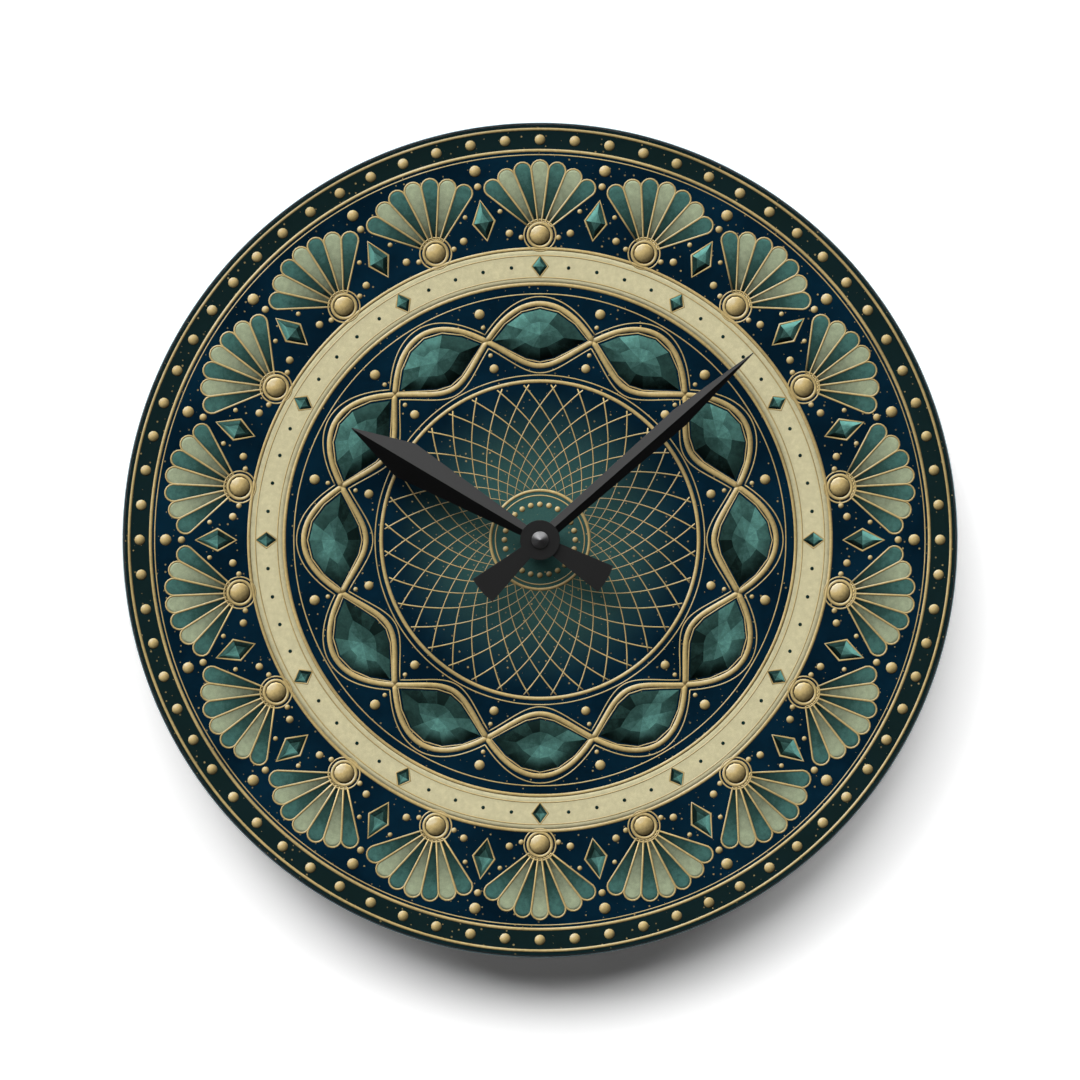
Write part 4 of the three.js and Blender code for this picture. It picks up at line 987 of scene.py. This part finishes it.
class CLOCK_OT_acrylic_disc(bpy.types.Operator):
    """Makes the clear disc with its polished edge"""

    bl_idname = "clock.acrylic_disc"
    bl_label = "Acrylic disc"

    EDGE_STEPS = 4
    LEVEL_LIP = 0.05

    def execute(self, context):
        disc = context.scene.clock_disc
        low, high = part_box("acrylic_disc")
        rear, front = -high.y / MM, -low.y / MM
        radius = high.x / MM
        bore = bore_of("acrylic_disc")
        edge = disc.round / MM
        start = radius - edge
        flat = start - self.LEVEL_LIP
        profile = [(bore, rear), (flat, rear), (start, rear)]
        for step in range(1, self.EDGE_STEPS + 1):
            angle = math.pi / 2 * step / self.EDGE_STEPS
            profile.append((start + edge * math.sin(angle), rear + edge - edge * math.cos(angle)))
        for step in range(self.EDGE_STEPS + 1):
            angle = math.pi / 2 * step / self.EDGE_STEPS
            profile.append((start + edge * math.cos(angle), front - edge + edge * math.sin(angle)))
        profile += [(flat, front), (bore, front)]
        mesh = smoothed(turned_mesh("acrylic_face", profile, DISC_STEPS), 40)
        material = clear_acrylic("clear_acrylic", disc.edge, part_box("print_film")[1].x, low.y)
        piece = show("acrylic_face", mesh, material, "movement", "acrylic")
        piece.visible_shadow = False
        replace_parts(piece, "acrylic_disc")
        return {"FINISHED"}


class CLOCK_OT_dial_print(bpy.types.Operator):
    """Prints the dial: enamel fans, an ivory chapter ring, a chain of cut stones and a lattice"""

    bl_idname = "clock.dial_print"
    bl_label = "Dial print"

    def execute(self, context):
        dial = context.scene.clock_dial
        gold = dial.gold
        # Gold ramp from painted shade through the gold to a painted highlight
        self.gold = gold_ink("gold_ink", [
            (0.0, toned(gold, 0.07)),
            (0.28, toned(gold, 0.3)),
            (0.52, toned(gold, 0.75)),
            (0.75, toned(gold, 1.5)),
            (1.0, GOLD_PAINTED_HIGHLIGHT),
        ], PAINTED_LIGHT)
        self.teal = enamel_ink("teal_enamel", [
            (0.0, toned(dial.teal, 0.12)),
            (0.45, toned(dial.teal, 0.7)),
            (0.75, toned(dial.teal, 1.7)),
            (1.0, toned(dial.teal, 3.4)),
        ])
        self.cream = enamel_ink("cream_enamel", [
            (0.0, toned(dial.cream, 0.16)),
            (0.4, toned(dial.cream, 0.7)),
            (0.75, toned(dial.cream, 1.25)),
            (1.0, toned(dial.cream, 1.75)),
        ])
        self.ivory = enamel_ink("ivory_enamel", [
            (0.0, toned(dial.ivory, 0.2)),
            (0.4, toned(dial.ivory, 0.75)),
            (0.7, dial.ivory),
            (1.0, toned(dial.ivory, 1.35)),
        ])
        self.film(dial)
        self.group = ring_group()
        self.rim(dial)
        self.fans(dial)
        self.kites(dial)
        self.chapter_ring()
        self.chain()
        self.middle(dial)
        bpy.data.node_groups.remove(self.group)
        return {"FINISHED"}

    def film(self, dial):
        low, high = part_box("print_film")
        bore, radius = bore_of("print_film"), high.x / MM
        front, rear = -low.y / MM, -high.y / MM
        profile = [(bore, rear), (radius, rear), (radius, front), (bore, front)]
        ground = dial_ground("dial_ground", dial, (low.y + high.y) / 2)
        mesh = turned_mesh("dial_film", profile, DISC_STEPS)
        film = show("dial_film", mesh, ground, "movement", "print")
        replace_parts(film, "print_film")

    def ring(self, name, ink, count, start, material):
        ring_of(self.group, name, ink, count, start, material)

    def rim(self, dial):
        lines = Ink()
        for radius, half in RIM_LINES:
            lines.wire(ring_path(radius, RING_POINTS), half, closed=True)
        self.ring("print_rim_lines", lines, 1, 0, self.gold)
        bead = Ink()
        bead.pearl(0, RIM_PEARL, RIM_PEARL_RADIUS)
        self.ring("print_rim_pearls", bead, dial.pearls, 0, self.gold)

    def fans(self, dial):
        tip = FLUTE_END * FLUTE_LEAN
        half_way = (FLUTE_START + FLUTE_END) / 2
        apex = Vector((0, FAN_APEX))
        teal, cream, wires, beads = Ink(), Ink(), Ink(), Ink()

        def tone(x, y, share):
            along = ((Vector((x, y)) - apex).length - FLUTE_START) / (FLUTE_END + tip - FLUTE_START)
            return 0.12 + 0.72 * along ** 1.3 - 0.22 * share ** 4

        for flute in range(FAN_FLUTES):
            angle = math.radians((flute - (FAN_FLUTES - 1) / 2) * FAN_SPREAD)
            out = Vector((math.sin(angle), math.cos(angle)))
            side = Vector((out.y, -out.x))

            def at(along, across):
                place = apex + out * along + side * across
                return place.x, place.y

            outline = [at(FLUTE_START, -FLUTE_START * FLUTE_LEAN), at(half_way, -half_way * FLUTE_LEAN)]
            for step in range(9):
                turn = math.pi * step / 8
                outline.append(at(FLUTE_END + tip * math.sin(turn), -tip * math.cos(turn)))
            outline += [at(half_way, half_way * FLUTE_LEAN), at(FLUTE_START, FLUTE_START * FLUTE_LEAN)]
            ink = cream if flute % 2 else teal
            ink.cell(outline[::-1], at(FLUTE_END * 0.72, 0), tone)
            wires.wire(outline + [outline[0]], FLUTE_WIRE)
        for radius, half in FAN_RINGS:
            path = [(radius * x, FAN_APEX + radius * y) for x, y in ring_path(1, 32)]
            wires.wire(path, half, closed=True)
        beads.pearl(0, FAN_APEX, FAN_PEARL)
        self.ring("print_fan_teal", teal, dial.fans, 0, self.teal)
        self.ring("print_fan_cream", cream, dial.fans, 0, self.cream)
        self.ring("print_fan_wires", wires, dial.fans, 0, self.gold)
        self.ring("print_fan_beads", beads, dial.fans, 0, self.gold)

    def kites(self, dial):
        kite, rims, beads = Ink(), Ink(), Ink()
        outline = [
            (0, KITE_MIDDLE + KITE_UP),
            (KITE_HALF, KITE_MIDDLE),
            (0, KITE_MIDDLE - KITE_DOWN),
            (-KITE_HALF, KITE_MIDDLE),
        ]
        # Painted light on the facets: lighter towards the upper left
        kite.gem(outline[::-1], (0, KITE_MIDDLE), 0.45, lambda out: 0.4 + 0.35 * (out.y - out.x))
        rims.wire(outline, KITE_WIRE, closed=True)
        for up, radius in KITE_TOP_PEARLS:
            beads.pearl(0, up, radius)
        for across, up, radius in KITE_SIDE_PEARLS:
            beads.pearl(across, up, radius)
            beads.pearl(-across, up, radius)
        between = 180 / dial.fans
        self.ring("print_kites", kite, dial.fans, between, self.teal)
        self.ring("print_kite_rims", rims, dial.fans, between, self.gold)
        self.ring("print_kite_beads", beads, dial.fans, between, self.gold)

    def chapter_ring(self):
        band, lines = Ink(), Ink()
        path = ring_path(CHAPTER_MIDDLE, RING_POINTS)
        band.wire(path, CHAPTER_HALF, closed=True, foot=INK_FOOT + 0.004, rise=0.006, flat=CHAPTER_FLAT)
        for radius, half in CHAPTER_LINES:
            lines.wire(ring_path(radius, RING_POINTS), half, closed=True)
        self.ring("print_chapter_band", band, 1, 0, self.ivory)
        self.ring("print_chapter_lines", lines, 1, 0, self.gold)
        stone, rim, dot = Ink(), Ink(), Ink()
        centre = (0, CHAPTER_MIDDLE)
        outline = [
            (0, CHAPTER_MIDDLE + HOUR_STONE_UP),
            (HOUR_STONE_HALF, CHAPTER_MIDDLE),
            (0, CHAPTER_MIDDLE - HOUR_STONE_UP),
            (-HOUR_STONE_HALF, CHAPTER_MIDDLE),
        ]
        # Painted light on the facets: lighter towards the upper left
        stone.gem(outline[::-1], centre, 0.5, lambda out: 0.34 + 0.3 * (out.y - out.x))
        rim.wire(outline, HOUR_WIRE, closed=True)
        round_dot = [(MINUTE_DOT * x, CHAPTER_MIDDLE + MINUTE_DOT * y) for x, y in ring_path(1, 12)]
        dot.cell(round_dot[::-1], centre, lambda x, y, share: 0.1, top=INSET_TOP, shares=(1, 0.5))
        self.ring("print_hour_stones", stone, HOURS, 0, self.teal)
        self.ring("print_hour_rims", rim, HOURS, 0, self.gold)
        for name, offset in MINUTE_DEGREES:
            self.ring("print_minutes_" + name, dot, HOURS, offset, self.teal)

    def chain(self):
        half = 180 / CHAIN_LINKS

        def edge(side, degrees, grow=0.0):
            swing = CHAIN_SWING * math.cos(math.radians(degrees * 90 / half))
            return polar(CHAIN_MIDDLE + side * (swing + grow), degrees)

        def spaced(steps):
            return [-half + 2 * half * step / steps for step in range(steps + 1)]

        def shrunk(points, across, up):
            return [(x * across, CHAIN_MIDDLE + (y - CHAIN_MIDDLE) * up) for x, y in points]

        wires, stone, beads = Ink(), Ink(), Ink()
        for side in (1, -1):
            sweep = spaced(CHAIN_STEPS)
            wires.wire([edge(side, degrees) for degrees in sweep], CHAIN_WIRE)
            wires.wire([edge(side, degrees, CHAIN_LINE_GAP) for degrees in sweep], CHAIN_LINE)
        facets = spaced(CHAIN_FACETS)
        lens = [edge(1, degrees) for degrees in facets[:-1]]
        lens += [edge(-1, degrees) for degrees in facets[:0:-1]]
        small = shrunk(lens, *CHAIN_STONE)

        # Painted light on the facets: lighter towards the top and the left
        def tone(out):
            return 0.36 + 0.3 * out.y - 0.18 * out.x

        stone.gem(small[::-1], (0, CHAIN_MIDDLE), 0.52, tone, top=CELL_TOP)
        wires.wire(shrunk(lens, *CHAIN_SETTING), CHAIN_LINE, closed=True)
        for radius, size in CHAIN_PEARLS:
            beads.pearl(*polar(radius, half), size)
        self.ring("print_chain_stones", stone, CHAIN_LINKS, 0, self.teal)
        self.ring("print_chain_wires", wires, CHAIN_LINKS, 0, self.gold)
        self.ring("print_chain_beads", beads, CHAIN_LINKS, 0, self.gold)

    def middle(self, dial):
        lines, rings, beads = Ink(), Ink(), Ink()
        growth = math.log(LATTICE_OUTER / LATTICE_INNER)
        for side, rise in ((1, 0.8), (-1, 0.6)):
            path, halves = [], []
            for step in range(LATTICE_STEPS + 1):
                share = step / LATTICE_STEPS
                radius = LATTICE_INNER + (LATTICE_OUTER - LATTICE_INNER) * share
                path.append(polar(radius, side * LATTICE_SWING * math.log(radius / LATTICE_INNER) / growth))
                halves.append(0.1 + 0.14 * share)
            lines.wire(path, halves, rise=WIRE_RISE * rise)
        self.ring("print_turned_lines", lines, dial.rays, 0, self.gold)
        for radius, half in MIDDLE_RINGS:
            rings.wire(ring_path(radius, MIDDLE_POINTS), half, closed=True)
        self.ring("print_middle_rings", rings, 1, 0, self.gold)
        beads.pearl(0, MIDDLE_PEARL, MIDDLE_PEARL_RADIUS)
        self.ring("print_middle_beads", beads, MIDDLE_PEARLS, 0, self.gold)


# Hands and cap nut: degrees, then millimetres

FOLD_SHARP, FOLD_CREASE = 40, 10
CAP_BORE, CAP_HOLLOW = 1.28, 1.3
CAP_RIM, CAP_CHAMFER = 0.7, 0.12
CAP_ROLL = ((0.05, -0.03), (0.16, 0.05))
CAP_GROOVES, GROOVE_HALF = (2.3, 1.75, 1.2, 0.65), 0.16
GROOVE_LIP, GROOVE_FLOOR = 0.04, 0.1
CAP_TIP, CAP_TIP_LIP, CAP_TIP_FLOOR = 0.16, 0.03, 0.05


class CLOCK_OT_hands(bpy.types.Operator):
    """Finishes the folded hands, their bushes and the cap nut"""

    bl_idname = "clock.hands"
    bl_label = "Hands"

    def execute(self, context):
        hands = context.scene.clock_hands
        movement = context.scene.clock_movement
        black = satin_black("satin_black", hands.black, hands.shine, roughness=0.31)
        for node in ("hour_hand", "minute_hand"):
            mesh = bevelled_copy(node, node + "_sheet", hands.edge, FOLD_SHARP, FOLD_CREASE)
            piece = show(node + "_sheet", mesh, black, node, "hand_black")
            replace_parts(piece, node)
        brass = turned_metal("turned_brass", movement.brass, roughness=0.28, pitch=0.12 * MM)
        for node in ("hour_hand_bush", "minute_hand_bush"):
            dress(node, brass)
        self.cap_nut(hands)
        return {"FINISHED"}

    def cap_nut(self, hands):
        low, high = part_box("cap_nut")
        rear, front = -high.y / MM, -low.y / MM
        radius = high.x / MM
        rim = rear + CAP_RIM
        slope = (front - rim) / radius

        def on_cone(reach, sunk):
            return reach, front - slope * reach - sunk

        profile = [
            (CAP_BORE, rear),
            (radius - CAP_CHAMFER, rear),
            (radius, rear + CAP_CHAMFER),
            (radius, rim - CAP_CHAMFER),
        ]
        profile += [(radius - inset, rim + up) for inset, up in CAP_ROLL]
        for groove in CAP_GROOVES:
            profile.append(on_cone(groove + GROOVE_HALF, GROOVE_LIP))
            profile.append(on_cone(groove, GROOVE_FLOOR))
            profile.append(on_cone(groove - GROOVE_HALF, GROOVE_LIP))
        profile += [on_cone(CAP_TIP, CAP_TIP_LIP), (0, front - CAP_TIP_FLOOR)]
        profile += [(0, rear + CAP_HOLLOW), (CAP_BORE, rear + CAP_HOLLOW)]
        mesh = smoothed(turned_mesh("cap_nut_polished", profile, SMALL_STEPS), 32)
        material = turned_metal("polished_cap", hands.cap, roughness=0.36, pitch=0.2 * MM)
        piece = show("cap_nut_polished", mesh, material, "minute_hand", "cap_metal")
        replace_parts(piece, "cap_nut")


def dress(node, material):
    """Gives a node its finished material."""
    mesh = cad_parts[node].data
    mesh.materials.clear()
    mesh.materials.append(material)


# Movement: colours of the pieces without a setting

PLATE_GREY = (0.27, 0.28, 0.30)
RUBBER_BLACK = (0.011, 0.011, 0.011)
STATOR_GREY = (0.30, 0.31, 0.33)
SPRING_GREY = (0.6, 0.6, 0.61)
COPPER_RED = (0.62, 0.24, 0.09)
MAGNET_GREY = (0.08, 0.08, 0.09)
BOARD_GREEN = (0.022, 0.12, 0.05)
RESIN_BLACK = (0.01, 0.01, 0.011)
BATTERY_PALE = (0.6, 0.61, 0.58)

MOULD_SHARP, MOULD_CREASE = 50, 20
SIGN_DEPTH = 0.3 * MM
LEVEL_FACE = 0.999

# Battery in millimetres: reach and height from its flat end, then from its shoulder and its button
BUTTON_HEIGHT = 1.3
BASE_STEPS = ((0, 0), (4.9, 0), (5.25, 0.2), (5.4, 0.35), (6.2, 0.3))
BASE_ROLL = ((0.4, 0.35), (0.1, 0.6), (0, 0.95))
TOP_ROLL = ((0, 0.85), (0.1, 0.45), (0.45, 0.15))
TOP_STEPS = ((6.2, 0.05), (5.8, 0.2), (4.55, 0.2), (4.4, 0), (2.95, 0), (2.75, -0.2))
BUTTON_STEPS = ((2.75, 0.25), (2.65, 0.08), (2.35, 0), (0, 0))


class CLOCK_OT_movement(bpy.types.Operator):
    """Finishes the movement: case, cover, hanger, wheels, motor, board and battery"""

    bl_idname = "clock.movement"
    bl_label = "Movement"

    def execute(self, context):
        movement = context.scene.clock_movement
        case = moulded_plastic("case_plastic", movement.case, 0.5, grain=0.25 * MM, depth=0.03 * MM)
        pale = moulded_plastic("pale_plastic", movement.pale, 0.45, grain=0.4 * MM, depth=0.01 * MM)
        grey = moulded_plastic("plate_plastic", PLATE_GREY, 0.5, grain=0.3 * MM, depth=0.02 * MM)
        rubber = moulded_plastic("gasket_rubber", RUBBER_BLACK, 0.85, grain=0.5 * MM, depth=0.04 * MM)
        steel = stamped_metal("plated_steel", movement.steel, 0.34, grain_scale=(1, 1, 0.12))
        iron = stamped_metal("stator_iron", STATOR_GREY, 0.4, grain_scale=(0.2, 1, 1))
        spring = stamped_metal("spring_steel", SPRING_GREY, 0.28, grain_scale=(0.15, 1, 1))
        copper = stamped_metal("copper_wire", COPPER_RED, 0.3, grain_scale=(6, 0.3, 0.3))
        magnet = turned_metal("magnet", MAGNET_GREY, 0.4, pitch=0.3 * MM)
        brass = turned_metal("case_brass", movement.brass, 0.3, pitch=0.15 * MM)
        board = moulded_plastic("board_green", BOARD_GREEN, 0.4, grain=0.5 * MM, depth=0.01 * MM)
        resin = moulded_plastic("chip_resin", RESIN_BLACK, 0.3, grain=0.8 * MM, depth=0.01 * MM)
        for material, nodes in (
            (pale, ("minute_wheel", "hour_wheel", "setting_stem", "third_wheel", "fourth_wheel",
                    "fifth_wheel", "rotor_pinion", "coil_bobbin")),
            (grey, ("gear_plate",)),
            (rubber, ("shaft_gasket",)),
            (steel, ("motor_screw_left", "motor_screw_right", "quartz_crystal")),
            (spring, ("contact_positive", "contact_negative", "clutch_spring")),
            (iron, ("stator_plate", "coil_core")),
            (copper, ("coil_winding",)),
            (magnet, ("rotor_magnet",)),
            (brass, ("dial_washer", "dial_nut", "threaded_bush", "minute_shaft", "centre_wheel")),
            (board, ("circuit_board",)),
            (resin, ("control_chip",)),
        ):
            for node in nodes:
                dress(node, material)
        for node, name, material, body, slot, width in (
            ("case_base", "case_shell", case, "movement", "case_black", 0.3 * MM),
            ("rear_cover", "cover_shell", case, "movement", "case_black", 0.25 * MM),
            ("hanger_hook", "hanger_plate", steel, "movement", "hanger_steel", 0.12 * MM),
            ("setting_knob", "knob_moulding", pale, "setting_knob", "pale_plastic", 0.25 * MM),
        ):
            mesh = bevelled_copy(node, name, width, MOULD_SHARP, MOULD_CREASE)
            if node == "rear_cover":
                mesh = smoothed(engraved(mesh, cover_signs(), SIGN_DEPTH), MOULD_CREASE)
                for face in mesh.polygons:
                    face.use_smooth = abs(face.normal.y) < LEVEL_FACE
            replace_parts(show(name, mesh, material, body, slot), node)
        self.battery(movement)
        return {"FINISHED"}

    def battery(self, movement):
        low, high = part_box("battery")
        middle = (low + high) / 2
        half, radius = high.x / MM, (high.z - low.z) / 2 / MM
        shoulder = half - BUTTON_HEIGHT
        profile = [(reach, up - half) for reach, up in BASE_STEPS]
        profile += [(radius - inset, up - half) for inset, up in BASE_ROLL]
        profile += [(radius - inset, shoulder - down) for inset, down in TOP_ROLL]
        profile += [(reach, shoulder - down) for reach, down in TOP_STEPS]
        profile += [(reach, half - down) for reach, down in BUTTON_STEPS]
        lying = Matrix.Translation((0, middle.y, middle.z)) @ Matrix.Rotation(math.pi / 2, 4, "Z")
        mesh = smoothed(turned_mesh("battery_cell", profile, SMALL_STEPS, lying, closed=False), 35)
        skin = battery_skin("battery_skin", movement.cell, BATTERY_PALE, middle)
        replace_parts(show("battery_cell", mesh, skin, "battery", "cell"), "battery")


# Stage

WALL_DARK, WALL_PALE, WALL_CLOUDS = 1.495, 1.505, 60 * MM
WALL_LIFT = 0.0125
WALL_HALF, WALL_GAP, FLOOR_LEVEL = 3.0, 0.6 * MM, -1.5

# Soft boxes: degrees to the left, degrees up, spread in degrees and share of the light
SOFT_BOXES = (
    ("left_box", 59, 61.5, 41, 0.94),
    ("key_box", 15, 53, 54, 0.86),
    ("right_box", -50, 61.5, 43, 0.67),
)
ALL_BOUNCES = 1024
BACK_SHARE, BACK_SPREAD, BACK_TOWARD = 1.4, 40, (-0.5, -1, -0.6)

# Light seen in reflections: the ways to two cards, then the start, full reach and level of each light
FRONT_CARD_WAY, LOW_CARD_WAY = (0.3, -0.84, 0.45), (-0.75, -0.5, -0.43)
FRONT_CARD, LOW_CARD = (0.91, 0.985, 1.6), (0.965, 0.999, 1.6)
OVERHEAD, ASIDE, UNDER = (0.5, 0.95, 0.6), (-0.25, 0.6, 0.75), (0.5, 0.9, 0.15)
DIMMEST = 0.01

SENSOR_WIDTH, CLIP_START, CLIP_END = 36, 0.05, 30


class CLOCK_OT_stage(bpy.types.Operator):
    """Sets the wall, the floor, the soft light and the camera"""

    bl_idname = "clock.stage"
    bl_label = "Stage"

    def execute(self, context):
        stage = context.scene.clock_stage
        self.backdrop()
        self.lamps(stage)
        self.surroundings(stage)
        self.camera(context, stage)
        context.scene.view_settings.view_transform = "Standard"
        return {"FINISHED"}

    def backdrop(self):
        material, tree = new_material("pale_wall")
        rays = tree.node("ShaderNodeLightPath")
        seen = tree.math("MAXIMUM", rays["Is Camera Ray"], rays["Is Glossy Ray"])
        plaster = tree.noise(tree.place(), WALL_CLOUDS, 2)
        paint = tree.node("ShaderNodeBsdfDiffuse", None, {
            "Color": tree.mix(plaster, rgba([WALL_DARK] * 3), rgba([WALL_PALE] * 3)),
        })[0]
        sockets = {"Color": rgba(WHITE), "Strength": seen * WALL_LIFT}
        lift = tree.node("ShaderNodeEmission", None, sockets)[0]
        front = tree.node("ShaderNodeAddShader", None, {0: paint, 1: lift})[0]
        clear = tree.node("ShaderNodeBsdfTransparent")[0]
        behind = tree.node("ShaderNodeNewGeometry")["Backfacing"]
        tree.surface(tree.blend(behind, front, clear))
        near = WALL_GAP - 2 * WALL_HALF
        wall = self.sheet("wall", [
            (-WALL_HALF, WALL_GAP, FLOOR_LEVEL),
            (WALL_HALF, WALL_GAP, FLOOR_LEVEL),
            (WALL_HALF, WALL_GAP, WALL_HALF),
            (-WALL_HALF, WALL_GAP, WALL_HALF),
        ])
        floor = self.sheet("floor", [
            (-WALL_HALF, near, FLOOR_LEVEL),
            (WALL_HALF, near, FLOOR_LEVEL),
            (WALL_HALF, WALL_GAP, FLOOR_LEVEL),
            (-WALL_HALF, WALL_GAP, FLOOR_LEVEL),
        ])
        floor.visible_glossy = False
        for sheet in (wall, floor):
            sheet.data.materials.append(material)
            sheet.visible_shadow = False
            sheet.visible_diffuse = False

    def sheet(self, name, corners):
        mesh = bpy.data.meshes.new(name)
        mesh.from_pydata(corners, [], [(0, 1, 2, 3)])
        piece = bpy.data.objects.new(name, mesh)
        bpy.context.scene.collection.objects.link(piece)
        return piece

    def lamps(self, stage):
        def sun(name, strength, softness, toward, bounces):
            lamp = bpy.data.lights.new(name, "SUN")
            lamp.energy = strength
            lamp.angle = softness
            lamp.cycles.max_bounces = bounces
            holder = bpy.data.objects.new(name, lamp)
            holder.rotation_mode = "QUATERNION"
            holder.rotation_quaternion = Vector(toward).to_track_quat("-Z", "Y")
            bpy.context.scene.collection.objects.link(holder)

        for name, aside, rise, spread, share in SOFT_BOXES:
            toward = (math.tan(math.radians(aside)), 1, -math.tan(math.radians(rise)))
            sun(name, stage.light * share, math.radians(spread), toward, ALL_BOUNCES)
        sun("back", stage.light * BACK_SHARE, math.radians(BACK_SPREAD), BACK_TOWARD, 0)

    def surroundings(self, stage):
        world = bpy.data.worlds.new("soft_box")
        bpy.context.scene.world = world
        world.use_nodes = True
        tree = Tree(world.node_tree)
        rays = tree.node("ShaderNodeLightPath")
        way = tree.node("ShaderNodeTexCoord")["Generated"]
        axes = tree.parts(way)
        mirrored = tree.joined(tree.math("ABSOLUTE", axes[0]), axes[1], axes[2])

        def lit(value, start, full, level):
            return tree.step(value, start, full) * level

        cards = lit(tree.toward(mirrored, FRONT_CARD_WAY), *FRONT_CARD)
        cards = cards + lit(tree.toward(way, LOW_CARD_WAY), *LOW_CARD)
        broad = tree.math("MAXIMUM", lit(axes[2], *OVERHEAD), lit(axes[1], *ASIDE))
        glossy = broad + lit(0 - axes[2], *UNDER) + cards + DIMMEST
        seen = tree.math("MAXIMUM", rays["Is Camera Ray"], rays["Is Transmission Ray"])
        reflected = rays["Is Glossy Ray"]
        unseen = reflected * glossy + (1 - reflected) * stage.fill
        level = seen + (1 - seen) * unseen
        light = tree.node("ShaderNodeBackground", None, {"Color": rgba(WHITE), "Strength": level})[0]
        tree.node("ShaderNodeOutputWorld", None, {"Surface": light})

    def camera(self, context, stage):
        lens = bpy.data.cameras.new("camera")
        lens.lens = stage.lens
        lens.sensor_width = SENSOR_WIDTH
        lens.clip_start = CLIP_START
        lens.clip_end = CLIP_END
        camera = bpy.data.objects.new("camera", lens)
        distance = stage.width * stage.lens / lens.sensor_width
        camera.location = (0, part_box("acrylic_disc")[0].y - distance, 0)
        camera.rotation_euler = (math.pi / 2, 0, 0)
        context.scene.collection.objects.link(camera)
        context.scene.camera = camera


class CLOCK_PT_panel(bpy.types.Panel):
    """Lists the steps that dress the clock"""

    bl_idname = "CLOCK_PT_panel"
    bl_label = "Wall clock"
    bl_space_type = "VIEW_3D"
    bl_region_type = "UI"
    bl_category = "Wall clock"

    def draw(self, context):
        for operator in OPERATORS:
            self.layout.operator(operator.bl_idname)


SETTINGS = {
    "clock_dial": DialSettings,
    "clock_disc": DiscSettings,
    "clock_hands": HandSettings,
    "clock_movement": MovementSettings,
    "clock_stage": StageSettings,
}
OPERATORS = (
    CLOCK_OT_acrylic_disc,
    CLOCK_OT_dial_print,
    CLOCK_OT_hands,
    CLOCK_OT_movement,
    CLOCK_OT_stage,
)


def register():
    for group in (*SETTINGS.values(), *OPERATORS, CLOCK_PT_panel):
        bpy.utils.register_class(group)
    for name, group in SETTINGS.items():
        setattr(bpy.types.Scene, name, PointerProperty(type=group))


def unregister():
    for name in SETTINGS:
        delattr(bpy.types.Scene, name)
    for group in (CLOCK_PT_panel, *reversed(OPERATORS), *reversed(SETTINGS.values())):
        bpy.utils.unregister_class(group)


def main():
    register()
    bpy.ops.clock.acrylic_disc()
    bpy.ops.clock.dial_print()
    bpy.ops.clock.hands()
    bpy.ops.clock.movement()
    bpy.ops.clock.stage()


if __name__ == "__main__":
    main()
